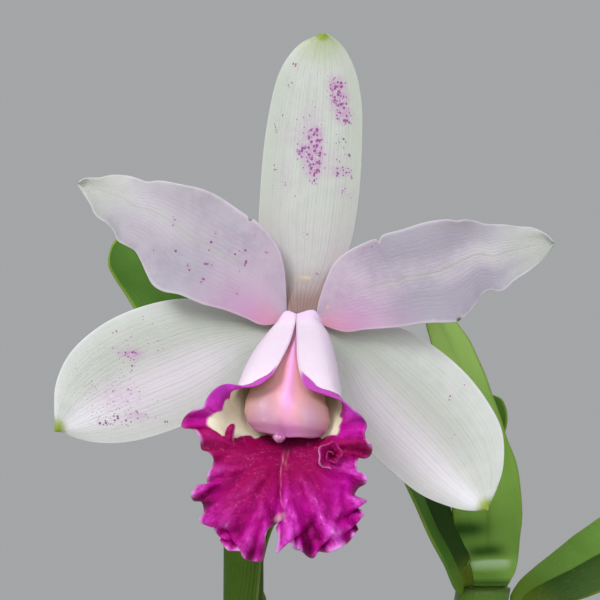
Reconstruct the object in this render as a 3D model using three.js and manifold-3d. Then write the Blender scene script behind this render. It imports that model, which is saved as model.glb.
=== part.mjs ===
// A potted Cattleya intermedia with one open bloom, in millimetres, +Z up.
// The origin is the centre of the pot's underside. The bloom looks along -Y, with +X on its right side
// as it is faced.
import * as THREE from "three";
import { mergeVertices } from "three/addons/utils/BufferGeometryUtils.js";
import Module from "manifold-3d";

const wasm = await Module();
wasm.setup();

// Driving dimensions
const clearance = 0.3;
const bloom = { x: 0, y: -25, z: 405 };
const eye = { distance: 600, rise: 4.2 };
const tepalThickness = 0.8;
const lipThickness = 0.8;
const leafThickness = 1.7;
const receptacleRadius = 3;
const pot = {
  height: 122,
  topRadius: 71,
  footRadius: 48,
  rimHeight: 26,
  rimStep: 4,
  wall: 6,
  floor: 8,
  holes: 5,
  holeRadius: 4.5,
  holeCircle: 26,
  sides: 32,
};
const bark = { level: 104, dome: 4, chips: 30, edgeRoom: 11.5, seed: 11 };
const barkGap = 0.7;
const goldenAngle = 2.39996;
const rhizomeLevel = 108;

// Materials
function finish(color, roughness) {
  return new THREE.MeshStandardMaterial({ color, roughness, metalness: 0 });
}
const terracotta = finish(0xb5653f, 0.85);
const barkBrown = finish(0x5a3d28, 0.95);
const rootGrey = finish(0xb9b79a, 0.8);
const stemGreen = finish(0x6f8f3c, 0.5);
const leafGreen = finish(0x4c7f2c, 0.4);
const sepalWhite = finish(0xd9dfd4, 0.6);
const petalLilac = finish(0xdccbdc, 0.6);
const lipMagenta = finish(0xc31489, 0.55);
const columnPink = finish(0xd995a6, 0.5);
const antherLilac = finish(0xe3b6dd, 0.5);

// A seeded draw of numbers between 0 and 1
function draws(seed) {
  let state = seed;
  return () => {
    state = (state * 1664525 + 1013904223) % 4294967296;
    return state / 4294967296;
  };
}

function vector(x, y, z) {
  return new THREE.Vector3(x, y, z);
}

// A point of the bloom, or of a leaf behind it, by its place in the front outline and its depth.
// The outline is taken at the bloom's centre plane as seen from the eye, and depth runs towards the eye.
function facing(right, up, depth) {
  const nearness = (eye.distance - depth) / eye.distance;
  return vector(
    bloom.x + right * nearness,
    bloom.y - depth,
    bloom.z + eye.rise + (up - eye.rise) * nearness,
  );
}

function smooth(low, high, x) {
  return THREE.MathUtils.smoothstep(x, low, high);
}

// The value at x of a line through [x, value] knots, eased between them
function along(knots, x) {
  let i = 0;
  while (i < knots.length - 2 && x > knots[i + 1][0]) i += 1;
  const [x0, v0] = knots[i];
  const [x1, v1] = knots[i + 1];
  return v0 + (v1 - v0) * smooth(x0, x1, x);
}

function curveThrough(points) {
  return new THREE.CatmullRomCurve3(points, false, "centripetal");
}

// A geometry from corner points and triangles, turned so that its faces point out
function closedGeometry(points, triangles) {
  const volume = triangles.reduce((sum, [a, b, c]) => {
    const normal = points[a].clone().cross(points[b]);
    return sum + normal.dot(points[c]);
  }, 0);
  const facingOut = volume < 0 ? triangles.map(([a, b, c]) => [a, c, b]) : triangles;
  const geometry = new THREE.BufferGeometry().setFromPoints(points);
  geometry.setIndex(facingOut.flat());
  geometry.computeVertexNormals();
  return geometry;
}

// A thin blade: a grid of points given thickness along its normals, split alike on both faces
function sheet(rows, thickness) {
  const across = rows[0].length;
  const points = [];
  for (const side of [1, -1]) {
    rows.forEach((row, i) => {
      row.forEach((point, j) => {
        const before = rows[Math.max(i - 1, 0)][j];
        const after = rows[Math.min(i + 1, rows.length - 1)][j];
        const left = row[Math.max(j - 1, 0)];
        const right = row[Math.min(j + 1, across - 1)];
        const normal = after.clone().sub(before).cross(right.clone().sub(left)).normalize();
        points.push(point.clone().addScaledVector(normal, (side * thickness) / 2));
      });
    });
  }
  const back = rows.length * across;
  const at = (i, j) => i * across + j;
  const triangles = [];
  function wall(a, b) {
    triangles.push([a, b, back + b], [a, back + b, back + a]);
  }
  for (let i = 0; i < rows.length - 1; i += 1) {
    for (let j = 0; j < across - 1; j += 1) {
      const [a, b, c, d] = [at(i, j), at(i, j + 1), at(i + 1, j + 1), at(i + 1, j)];
      triangles.push([a, c, b], [a, d, c]);
      triangles.push([back + a, back + b, back + c], [back + a, back + c, back + d]);
    }
  }
  for (let j = 0; j < across - 1; j += 1) {
    wall(at(0, j), at(0, j + 1));
    wall(at(rows.length - 1, j + 1), at(rows.length - 1, j));
  }
  for (let i = 0; i < rows.length - 1; i += 1) {
    wall(at(i + 1, 0), at(i, 0));
    wall(at(i, across - 1), at(i + 1, across - 1));
  }
  return closedGeometry(points, triangles);
}

// A solid through rings of points, closed at both ends by a fan about each ring's middle
function loft(rings) {
  const sides = rings[0].length;
  const points = rings.flat();
  const triangles = [];
  for (let i = 0; i < rings.length - 1; i += 1) {
    for (let j = 0; j < sides; j += 1) {
      const next = (j + 1) % sides;
      const [a, b] = [i * sides + j, i * sides + next];
      triangles.push([a, b, b + sides], [a, b + sides, a + sides]);
    }
  }
  for (const end of [0, rings.length - 1]) {
    const middle = new THREE.Vector3();
    rings[end].forEach((point) => middle.addScaledVector(point, 1 / sides));
    const hub = points.push(middle) - 1;
    for (let j = 0; j < sides; j += 1) {
      const [a, b] = [end * sides + j, end * sides + ((j + 1) % sides)];
      triangles.push(end === 0 ? [hub, b, a] : [hub, a, b]);
    }
  }
  return closedGeometry(points, triangles);
}

// A stem along a curve, with radius(s) at s from 0 to 1. The rings lie square to the curve, or level.
function stem(path, radius, steps, sides, level = false) {
  const curve = curveThrough(path);
  const across = Math.abs(curve.getTangentAt(0).x) < 0.9 ? vector(1, 0, 0) : vector(0, 1, 0);
  const rings = [];
  for (let i = 0; i <= steps; i += 1) {
    const s = i / steps;
    const way = level ? vector(0, 0, 1) : curve.getTangentAt(s);
    across.addScaledVector(way, -across.dot(way)).normalize();
    const out = way.clone().cross(across);
    const ring = [];
    for (let j = 0; j < sides; j += 1) {
      const angle = (2 * Math.PI * j) / sides;
      const point = curve.getPointAt(s).addScaledVector(across, radius(s) * Math.cos(angle));
      ring.push(point.addScaledVector(out, radius(s) * Math.sin(angle)));
    }
    rings.push(ring);
  }
  return loft(rings);
}

// Joins and cuts
function solidOf(geometry) {
  const bare = geometry.clone();
  bare.deleteAttribute("normal");
  bare.deleteAttribute("uv");
  const merged = mergeVertices(bare, 1e-4);
  return new wasm.Manifold(
    new wasm.Mesh({
      numProp: 3,
      vertProperties: merged.attributes.position.array,
      triVerts: new Uint32Array(merged.index.array),
    }),
  );
}

function geometryOf(solid) {
  const mesh = solid.getMesh();
  const geometry = new THREE.BufferGeometry();
  geometry.setAttribute("position", new THREE.BufferAttribute(mesh.vertProperties, 3));
  geometry.setIndex(new THREE.BufferAttribute(mesh.triVerts, 1));
  geometry.computeVertexNormals();
  return geometry;
}

function joined(geometries) {
  return geometries.map(solidOf).reduce((all, solid) => all.add(solid));
}

// The main body of a solid, without the scraps that a cut leaves
function largest(solid) {
  return solid.decompose().reduce((best, body) => (body.volume() > best.volume() ? body : best));
}

// A geometry with its faces turned out
function closedAgain(geometry) {
  const bare = geometry.clone();
  bare.deleteAttribute("normal");
  bare.deleteAttribute("uv");
  const merged = mergeVertices(bare, 1e-4);
  const { position } = merged.attributes;
  const points = [];
  for (let i = 0; i < position.count; i += 1) {
    points.push(new THREE.Vector3().fromBufferAttribute(position, i));
  }
  const triangles = [];
  for (let i = 0; i < merged.index.count; i += 3) {
    const [a, b, c] = [0, 1, 2].map((k) => merged.index.getX(i + k));
    if (a !== b && b !== c && a !== c) triangles.push([a, b, c]);
  }
  return closedGeometry(points, triangles);
}

// A solid of revolution about Z from a profile of [radius, height]
function turned(profile) {
  const points = profile.map(([radius, height]) => new THREE.Vector2(radius, height));
  return closedAgain(new THREE.LatheGeometry(points, pot.sides).rotateX(Math.PI / 2));
}

// Sepals and petals: two edges from base to tip as [right, up], and a depth for each place on the blade.
// s runs from base to tip, and t from -1 on the first edge to 1 on the second.
function tepal(firstEdge, secondEdge, depth, rows, columns) {
  const [first, second] = [firstEdge, secondEdge].map((edge) =>
    curveThrough(edge.map(([right, up]) => vector(right, up, 0))),
  );
  const grid = [];
  for (let i = 0; i <= rows; i += 1) {
    const s = 1 - (1 - i / rows) ** 1.25;
    const from = first.getPointAt(s);
    const to = second.getPointAt(s);
    const row = [];
    for (let j = 0; j <= columns; j += 1) {
      const t = (2 * j) / columns - 1;
      const place = from.clone().lerp(to, (t + 1) / 2);
      row.push(facing(place.x, place.y, depth(s, t)));
    }
    grid.push(row);
  }
  return sheet(grid, tepalThickness);
}

const dorsalLeft = [
  [-3, 3.5], [-6.5, 11], [-9.3, 20], [-9.1, 30], [-7.7, 44.2], [-5, 56.2], [0.3, 63.7], [4.6, 65.6],
];
const dorsalRight = [
  [3, 3.5], [8, 9.4], [11.4, 16], [13.5, 27], [14.4, 42.4], [14.2, 50.4], [12.7, 57.5], [9.1, 64.2],
  [6.6, 65.4],
];
const leftPetalUpper = [
  [-1.6, 4.2], [-4.3, 12.8], [-9.5, 22], [-11.8, 23.4], [-20.2, 28.7], [-28.7, 31.3], [-34.8, 31.6],
  [-40.2, 33], [-47, 32.8], [-51, 31.7],
];
const leftPetalLower = [
  [-4.2, -1], [-8.8, -1.6], [-13.3, 0.5], [-20.2, 2.2], [-28.7, 5.7], [-34.1, 7.8], [-36.8, 13.5],
  [-42.3, 18.6], [-47.3, 23.6], [-49.8, 28.2], [-51.2, 30.4],
];
const rightPetalUpper = [
  [1.6, 4], [5.2, 8], [8.8, 13], [14.4, 17.2], [18.2, 18], [27.5, 21.7], [36.5, 22.6], [42.3, 21.5],
  [51.4, 21.4], [57, 19.5], [58.5, 18],
];
const rightPetalLower = [
  [4.2, -1.2], [10.4, -3.5], [15, -2.8], [23.9, -2.1], [33.9, -1.3], [40.3, 2.6], [46.7, 6.2],
  [53.5, 11], [57.8, 15.2], [58.8, 16.8],
];
const leftSepalUpper = [
  [-4.2, 0.6], [-9, 0.8], [-17.6, 2.6], [-26.7, 4.9], [-37.5, 2.8], [-46.6, -1.9], [-53.4, -8.8],
  [-56.6, -16], [-56.6, -22.7], [-56.9, -25.2],
];
const leftSepalLower = [
  [-1.6, -4.8], [-10.4, -10.9], [-16.2, -17.8], [-22, -22.5], [-31.6, -26.6], [-40.1, -28.7],
  [-47.2, -28.8], [-53.7, -26.6], [-56.2, -26.3],
];
const rightSepalUpper = [
  [4.2, 0.4], [13.9, -1.4], [23, -2.2], [29.2, -5.4], [37.8, -12.3], [43.8, -20], [46.8, -26.4],
  [47, -34.6], [45.7, -39.3], [44.9, -42.6],
];
const rightSepalLower = [
  [1.6, -4.8], [7.9, -13.2], [10.5, -23], [16.6, -31.1], [21.1, -35.4], [28.4, -41], [36.1, -44],
  [40.4, -44.6], [43.2, -44.4],
];

function dorsalDepth(s, t) {
  return -3 - 7 * s + 4.5 * s * s - 0.9 * t * t * smooth(0, 0.3, s);
}

function lateralDepth(s, t) {
  return -3 - 2.4 * Math.sin(Math.PI * s) + 5 * s ** 3 - 0.8 * t * t * smooth(0, 0.3, s);
}

// Petals rise from the centre, and their edges wave more towards the tip
function petalDepth(s, t) {
  const rise = 3.4 * Math.sin(Math.PI * Math.min(0.85 * s, 1)) * smooth(0, 0.35, s);
  const wave = 1.2 * Math.sin(15 * s + 1.5 * t) * Math.abs(t) ** 3 * smooth(0.2, 0.6, s);
  return -0.8 + rise + wave - 0.8 * (1 - t * t) * smooth(0.1, 0.4, s);
}

// The lip's stations from its base to the end of the midlobe. Each half runs from the floor to the
// margin as [right, up, depth].
const tubeUp = { up: 0.62, depth: 0.78 };

function tubeStation([right, up, depth], radius, height, wrapDegrees) {
  const halves = [-1, 1].map((side) =>
    [0, 0.25, 0.5, 0.75, 1].map((share) => {
      const angle = THREE.MathUtils.degToRad(wrapDegrees * share);
      const rise = (height * (1 - Math.cos(angle))) / 2;
      return [
        right + side * radius * Math.sin(angle),
        up + tubeUp.up * rise,
        depth + tubeUp.depth * rise,
      ];
    }),
  );
  return { left: halves[0], right: halves[1] };
}

const lipStations = [
  tubeStation([0, -2.6, 0.9], 4.4, 7, 166),
  tubeStation([-0.3, -6.2, 2.4], 6.9, 9, 170),
  tubeStation([-1.7, -13.5, 8.5], 9.9, 13, 170),
  {
    left: [
      [-2.7, -22, 16.5], [-10.4, -20.8, 18], [-14.6, -17.7, 21.9], [-13.3, -14.4, 26.3], [-7.2, -13, 28.4],
    ],
    right: [[-2.7, -22, 16.5], [5, -20.8, 18], [9.2, -17.9, 21.9], [7.4, -15.2, 26.3], [0.8, -14.2, 28.2]],
  },
  {
    left: [[-2.8, -26, 20], [-11, -25, 21], [-16, -21, 24], [-17, -17.6, 27.4], [-17.4, -15.8, 29.2]],
    right: [[-2.8, -26, 20], [4.2, -25.2, 21], [9.4, -22.6, 24], [10.6, -20.6, 27.4], [10.6, -19.4, 29.4]],
  },
  {
    left: [[-3.4, -30, 25], [-10, -29.5, 25.5], [-16, -27.5, 27], [-21, -24.2, 28.6], [-26.6, -23.8, 27.6]],
    right: [[-3.4, -30, 25], [3, -29.6, 25.5], [8, -28.3, 27], [12, -26.9, 29], [15.4, -26.2, 29.6]],
  },
  {
    left: [[-3.6, -32.5, 27.5], [-9, -32, 28], [-14, -31.6, 28.5], [-18, -31, 28], [-21.6, -31, 27]],
    right: [[-3.6, -32.5, 27.5], [2, -32.2, 28], [7, -32, 28.5], [11, -32, 28.5], [15, -32.8, 28]],
  },
  {
    left: [[-3.7, -35.5, 29.6], [-9, -36, 31], [-14, -36.5, 31], [-18, -37, 30], [-21.6, -37.4, 29]],
    right: [[-3.7, -35.5, 29.6], [2, -36, 31], [7, -36.6, 31.2], [11.5, -36.8, 30.5], [15.4, -37, 29.5]],
  },
  {
    left: [[-4, -39.5, 31.6], [-10, -41, 34], [-16, -42, 33.5], [-21, -42, 32], [-25, -41, 31]],
    right: [[-4, -39.5, 31.6], [1.5, -41, 34], [6.5, -42, 34], [11.5, -42.4, 32.5], [15.6, -42.2, 31]],
  },
  {
    left: [[-3.2, -43, 32.8], [-8.5, -46, 35.5], [-13.5, -48, 35], [-18.5, -48.4, 33.5], [-23.4, -46.6, 32]],
    right: [[-3.2, -43, 32.8], [-0.4, -47.2, 35.5], [5, -49, 35], [10, -49.2, 33.5], [14.8, -47.4, 31.5]],
  },
  {
    left: [[-2.8, -46, 33.5], [-7.9, -51, 36], [-9.6, -56, 35], [-15.4, -54.4, 33], [-21, -50.6, 31.5]],
    right: [[-2.8, -46, 33.5], [-4.6, -52.4, 36], [0, -54, 35.5], [5.8, -55, 33.5], [12.4, -51.2, 31.5]],
  },
];
const midlobeStart = 0.6;
const pleatCentre = { right: -3.5, up: -30 };

// Pleats spread from the throat across the midlobe, and the side lobes' margins are waved
function ruffle(s, t, right, up) {
  const edge = Math.abs(t);
  const reach = Math.max(edge, (s - midlobeStart) / (1 - midlobeStart));
  const turn = Math.atan2(right - pleatCentre.right, pleatCentre.up - up);
  const pleats = 1.7 * Math.sin(15 * turn + 0.8) * reach ** 2.5 * smooth(midlobeStart, 0.72, s);
  const flare = smooth(0.33, 0.42, s) * (1 - smooth(0.56, 0.64, s));
  const wave = 1.1 * Math.sin(62 * s + t) * edge ** 4 * flare;
  return pleats + wave;
}

function lip(rows, columns) {
  const half = columns / 2;
  const lines = lipStations.map(({ left, right }) => {
    const run = [...left.slice(1).reverse(), ...right].map(([x, y, z]) => vector(x, y, z));
    const curve = new THREE.CatmullRomCurve3(run);
    return Array.from({ length: columns + 1 }, (_, j) => curve.getPoint(j / columns));
  });
  const grid = [];
  for (let i = 0; i <= rows; i += 1) {
    const s = i / rows;
    const row = [];
    for (let j = 0; j <= columns; j += 1) {
      const t = j / half - 1;
      const line = new THREE.CatmullRomCurve3(lines.map((points) => points[j]));
      const { x, y, z } = line.getPoint(s);
      row.push(facing(x, y, z + ruffle(s, t, x, y)));
    }
    grid.push(row);
  }
  return sheet(grid, lipThickness);
}

// The column leans forward inside the lip's tube and spreads into a hood with a ridge down its front
const columnSpine = [
  [0, -0.1, 1.8], [-0.8, -6, 9.4], [-2, -13, 17.2], [-3.4, -20, 22.6], [-4.4, -25.6, 25.7],
  [-4.6, -27.4, 26.6],
];
const columnHalfWidths = [
  [0, 2], [0.25, 3.4], [0.5, 5.2], [0.72, 8.2], [0.86, 9.4], [0.95, 7.8], [1, 4.6],
];
const columnHalfDepths = [[0, 1.4], [0.3, 2.4], [0.6, 3.4], [0.86, 3], [0.95, 2.1], [1, 1.2]];

function column(steps, sides) {
  const spine = curveThrough(columnSpine.map(([right, up, depth]) => facing(right, up, depth)));
  const rings = [];
  for (let i = 0; i <= steps; i += 1) {
    const s = i / steps;
    const tangent = spine.getTangentAt(s);
    const across = vector(1, 0, 0).addScaledVector(tangent, -tangent.x).normalize();
    const out = across.clone().cross(tangent).negate();
    if (out.y > 0) out.negate();
    const ring = [];
    for (let j = 0; j < sides; j += 1) {
      const angle = (2 * Math.PI * j) / sides;
      const ridge = 0.7 * Math.exp(-((angle - Math.PI / 2) ** 2) / 0.08) * smooth(0, 0.3, s);
      const width = along(columnHalfWidths, s) * Math.cos(angle);
      const depth = along(columnHalfDepths, s) * Math.sin(angle) + ridge * (1 - smooth(0.85, 1, s));
      const point = spine.getPointAt(s).addScaledVector(across, width);
      ring.push(point.addScaledVector(out, depth));
    }
    rings.push(ring);
  }
  return loft(rings);
}

const antherCap = { place: [-4.6, -28.9, 27.6], halfWidth: 1.9, halfHeight: 1.2, halfDepth: 1.6 };

function antherGeometry() {
  const geometry = new THREE.SphereGeometry(1, 10, 7);
  geometry.scale(antherCap.halfWidth, antherCap.halfDepth, antherCap.halfHeight);
  const { x, y, z } = facing(...antherCap.place);
  return geometry.translate(x, y, z);
}

// Flowering stalk, from the tip of its pseudobulb up through the spathe to the back of the bloom
const stalkFoot = facing(-12.8, -56, -8.5);
const stalkPath = [
  facing(0, 0, 0.2), facing(0, 0, -4), facing(-0.2, -0.8, -9.5), facing(-2, -5.5, -14.5),
  facing(-5.4, -15, -16), facing(-9.6, -26, -12.8), facing(-12.2, -36, -9.6), facing(-12.8, -45, -8.6),
  stalkFoot,
];
const stalkRadii = [[0, receptacleRadius], [0.1, 2.9], [0.3, 2.4], [0.55, 2], [1, 1.7]];

// Pseudobulbs: foot on the rhizome, tip under the leaves, half-width at the middle
const bulbTipRadius = 6;
const bulbs = {
  flowering: { foot: [-4, -14], tip: [-12.9, -14.5, 333], radius: 7.6 },
  right: { foot: [16, 8], tip: [45, 11, 338.5], radius: 7.8 },
  rear: { foot: [34, 26], tip: [53.4, 29.5, 331], radius: 7.2 },
  old_left: { foot: [-24, 4], tip: [-62, 20, 238], radius: 7.4 },
  old_back: { foot: [-6, 28], tip: [-22, 58, 226], radius: 7 },
  young: { foot: [18, -20], tip: [30, -46, 168], radius: 5.6 },
};
const bulbFootRise = 6.4;
const bulbJoints = [0.22, 0.45, 0.68, 0.88];
const bulbJointRelief = 0.35;
const bulbRadii = [[0, 0.55], [0.12, 0.78], [0.5, 1], [0.85, 0.86], [1, 0.8]];

function bulbPath({ foot: [x, y], tip: [tipX, tipY, tipZ] }) {
  const base = rhizomeLevel + bulbFootRise;
  const place = (share, lean) =>
    vector(x + (tipX - x) * lean, y + (tipY - y) * lean, base + (tipZ - base) * share);
  return [place(0, 0), place(0.3, 0.22), place(0.7, 0.64), place(1, 1)];
}

function bulb(spec) {
  const radius = (s) => {
    const body = spec.radius * along(bulbRadii, s);
    const ring = bulbJoints.reduce((sum, at) => sum + Math.exp(-(((s - at) / 0.02) ** 2)), 0);
    return THREE.MathUtils.lerp(body, bulbTipRadius, smooth(0.9, 1, s)) + bulbJointRelief * ring;
  };
  return stem(bulbPath(spec), radius, 14, 8, true);
}

// The stalk ends on the tip of its pseudobulb
function stalk() {
  const foot = stalkFoot.clone().setZ(bulbs.flowering.tip[2] + clearance);
  return stem([...stalkPath, foot], (s) => along(stalkRadii, s), 22, 10);
}

// Leaves: a seat on the tip of a pseudobulb, then a spine to the leaf's own tip, the way the upper face
// looks, and the widest half-width. The blade is folded along its midrib, so that its edges stand
// forward of the spine by fold times width.
const leafRise = 4;
const leafLift = 0.35;
const leafWidths = [
  [0, 0.3], [0.15, 0.36], [0.38, 0.82], [0.6, 1], [0.8, 0.92], [0.93, 0.64], [1, 0.16],
];

function leaf({ bulb: name, seat: [right, back], spine, face, halfWidth, fold = 0.45, foot = 1 }) {
  const [x, y, z] = bulbs[name].tip;
  const seat = vector(x + right, y + back, z + clearance + leafLift);
  const curve = curveThrough([seat, seat.clone().add(vector(0, 0, leafRise)), ...spine]);
  const rows = [];
  const steps = 11;
  for (let i = 0; i <= steps; i += 1) {
    const s = 1 - (1 - i / steps) ** 1.15;
    const tangent = curve.getTangentAt(s);
    const side = tangent.clone().cross(face).normalize();
    const upper = side.clone().cross(tangent).normalize();
    const narrow = along(leafWidths, s) * THREE.MathUtils.lerp(foot, 1, smooth(0, 0.25, s));
    const width = halfWidth * narrow;
    const flex = fold * (1 - 0.45 * smooth(0.5, 1, s));
    const row = [-1, -0.5, 0, 0.5, 1].map((t) => {
      const point = curve.getPointAt(s).addScaledVector(side, width * t);
      return point.addScaledVector(upper, width * flex * Math.abs(t) ** 1.3);
    });
    rows.push(row);
  }
  return sheet(rows, leafThickness);
}

const leaves = {
  leaf_flowering_left: {
    bulb: "flowering",
    seat: [-2.9, 3.4],
    spine: [
      facing(-14.2, -56, -15.6), facing(-13.6, -46.8, -17), facing(-10.6, -35.2, -20),
      facing(-10.8, -23.6, -24), facing(-17.6, -9, -28), facing(-27.4, 3.6, -31), facing(-36, 14.4, -33),
      facing(-41.4, 21.6, -34),
    ],
    face: vector(0.1, -1, 0.1),
    halfWidth: 13,
    foot: 0.5,
  },
  leaf_flowering_back: {
    bulb: "flowering",
    seat: [2.8, 4],
    spine: [
      facing(-11.5, -62, -18.5), facing(-11.6, -52, -22), facing(-10, -43, -28), facing(-4.6, -31, -35),
      facing(-0.6, -18, -38), facing(1.2, -2.8, -40), facing(2.3, 13, -41), facing(3, 25, -43),
    ],
    face: vector(0, -1, 0.1),
    halfWidth: 10.5,
    foot: 0.56,
  },
  leaf_right_broad: {
    bulb: "right",
    seat: [1.3, 0.6],
    spine: [
      facing(43.3, -51.6, -34.6), facing(43.5, -44.5, -34), facing(42.9, -36.6, -33),
      facing(40.3, -28.3, -33), facing(37, -17.4, -34), facing(34.5, -7.2, -36), facing(32.6, -1, -38),
      facing(30.6, 5, -40),
    ],
    face: vector(0, -1, 0.05),
    halfWidth: 8.6,
    foot: 1.4,
  },
  leaf_right_edge_on: {
    bulb: "right",
    seat: [-4.2, -3],
    spine: [
      facing(34.2, -57.4, -31), facing(31, -52.3, -30), facing(27.8, -46.6, -29), facing(24.6, -39.6, -29),
      facing(20, -28.3, -30), facing(16, -15.5, -32), facing(13.1, -2.8, -34),
    ],
    face: vector(0.95, -0.32, 0.1),
    halfWidth: 9,
    fold: 0.3,
    foot: 0.6,
  },
  leaf_rear_upright: {
    bulb: "rear",
    seat: [-2.8, 0.6],
    spine: [
      facing(46.6, -56, -55), facing(46, -44, -56), facing(45.2, -34, -57), facing(43.9, -23, -58),
      facing(41.8, -13, -59),
    ],
    face: vector(-0.62, -0.78, 0.1),
    halfWidth: 7.2,
    foot: 0.6,
  },
  leaf_rear_spreading: {
    bulb: "rear",
    seat: [2.9, -0.6],
    spine: [
      facing(57, -63.6, -54.6), facing(66, -61, -56), facing(77, -58.5, -58), facing(90, -53.6, -61),
      facing(105, -48.6, -65), facing(119, -45, -70),
    ],
    face: vector(-0.05, -0.8, 0.56),
    halfWidth: 16,
    foot: 0.42,
  },
  leaf_old_left_outer: {
    bulb: "old_left",
    seat: [-2.8, 0.6],
    spine: [vector(-70, 22, 256), vector(-84, 25, 278), vector(-104, 29, 297), vector(-130, 34, 309)],
    face: vector(0.55, 0, 0.84),
    halfWidth: 17,
    foot: 0.42,
  },
  leaf_old_left_inner: {
    bulb: "old_left",
    seat: [2.4, -1.6],
    spine: [vector(-57, 12, 258), vector(-53, 1, 280), vector(-53, -15, 300), vector(-57, -36, 314)],
    face: vector(0.15, 0.75, 0.65),
    halfWidth: 16,
    foot: 0.44,
  },
  leaf_old_back_left: {
    bulb: "old_back",
    seat: [-2.6, 1.6],
    spine: [vector(-29, 69, 246), vector(-39, 84, 270), vector(-53, 102, 289), vector(-70, 121, 302)],
    face: vector(0.5, -0.5, 0.7),
    halfWidth: 16,
    foot: 0.44,
  },
  leaf_old_back_right: {
    bulb: "old_back",
    seat: [2.8, 1],
    spine: [vector(-15, 64, 246), vector(-6, 76, 270), vector(7, 91, 292), vector(23, 107, 309)],
    face: vector(-0.5, -0.6, 0.6),
    halfWidth: 16,
    foot: 0.44,
  },
  leaf_young_front: {
    bulb: "young",
    seat: [-2.2, -2],
    spine: [vector(25, -55, 184), vector(18, -68, 203), vector(8, -85, 220), vector(-5, -103, 231)],
    face: vector(0.5, 0.5, 0.7),
    halfWidth: 11,
    foot: 0.56,
  },
  leaf_young_right: {
    bulb: "young",
    seat: [2.6, 0.6],
    spine: [vector(37, -48, 188), vector(46, -52, 211), vector(59, -58, 231), vector(76, -65, 245)],
    face: vector(-0.75, 0.2, 0.6),
    halfWidth: 11,
    foot: 0.56,
  },
};

// The spathe is one folded blade rolled round the stalk, with its free edge over the other. The edge
// starts at the front, twists up the roll, and the roll's back stands lower than its two edges.
const spathe = {
  halfWidth: 4.9,
  halfDepth: 4.1,
  wall: 0.7,
  lap: 1.3,
  height: 34,
  edgeAt: -95,
  turn: 395,
  twist: 40,
  backLow: 0.35,
  flatten: 0.12,
  lift: 0.15,
};

function spatheGeometry() {
  const [, , tipZ] = bulbs.flowering.tip;
  const foot = tipZ + clearance + spathe.lift;
  const rows = [];
  const steps = 6;
  const columns = 19;
  for (let i = 0; i <= steps; i += 1) {
    const s = i / steps;
    const row = [];
    for (let j = 0; j <= columns; j += 1) {
      const share = j / columns;
      const angle = THREE.MathUtils.degToRad(spathe.edgeAt + spathe.twist * s + spathe.turn * share);
      const inset = spathe.lap * (1 - share);
      const width = spathe.halfWidth - inset;
      const depth = (spathe.halfDepth - inset) * (1 - spathe.flatten * s);
      const top = spathe.height * (1 - spathe.backLow * Math.sin(Math.PI * share) ** 2);
      const x = stalkFoot.x + width * Math.cos(angle);
      const y = stalkFoot.y + depth * Math.sin(angle);
      row.push(vector(x, y, foot + top * s));
    }
    rows.push(row);
  }
  return sheet(rows, spathe.wall);
}

// Rhizome runs between the feet of the pseudobulbs, with a seat under each and roots into the bark
const rhizomeRuns = [
  ["old_back", "old_left", "flowering", "young"],
  ["old_back", "right", "rear"],
];
const rhizomeRadius = 5;
const rhizomeSag = 1.6;
const seatDepth = 5.5;
const seatHeight = 6;
const seatRadii = [[0, 4], [0.5, 6.2], [1, 4.4]];
const rootRadius = 1.5;
const rootsPerSeat = 2;
const rootPath = [
  { reach: 3, drop: 1 }, { reach: 9, drop: 0.4 }, { reach: 14, drop: 6 }, { reach: 17, drop: 18 },
];

// The rhizome, or with a growth the room that it needs in the bark
function rhizomePieces(growth) {
  const pieces = [];
  for (const run of rhizomeRuns) {
    for (let i = 0; i < run.length - 1; i += 1) {
      const [from, to] = [run[i], run[i + 1]].map((name) => {
        const [x, y] = bulbs[name].foot;
        return vector(x, y, rhizomeLevel);
      });
      const middle = from.clone().lerp(to, 0.5);
      middle.z -= rhizomeSag;
      pieces.push(stem([from, middle, to], () => rhizomeRadius + growth, 2, 7));
    }
  }
  Object.values(bulbs).forEach(({ foot: [x, y] }, i) => {
    const heights = [-seatDepth - growth, 0, seatHeight + growth];
    const seat = heights.map((height) => vector(x, y, rhizomeLevel + height));
    pieces.push(stem(seat, (s) => along(seatRadii, s) + growth, 2, 9));
    for (let k = 0; k < rootsPerSeat; k += 1) {
      const angle = 1.1 * i + (2 * Math.PI * k) / rootsPerSeat;
      const path = rootPath.map(({ reach, drop }) =>
        vector(x + reach * Math.cos(angle), y + reach * Math.sin(angle), rhizomeLevel - drop),
      );
      path.at(-1).z -= growth;
      pieces.push(stem(path, () => rootRadius + growth, 3, 5));
    }
  });
  return joined(pieces);
}

// Bark medium: a plug that fills the pot, with chips on its domed top and a bed for the rhizome
function potRadiusInside(z) {
  const share = z / (pot.height - pot.rimHeight);
  const outside = THREE.MathUtils.lerp(pot.footRadius, pot.topRadius - pot.rimStep, Math.min(share, 1));
  return outside - pot.wall;
}

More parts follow.
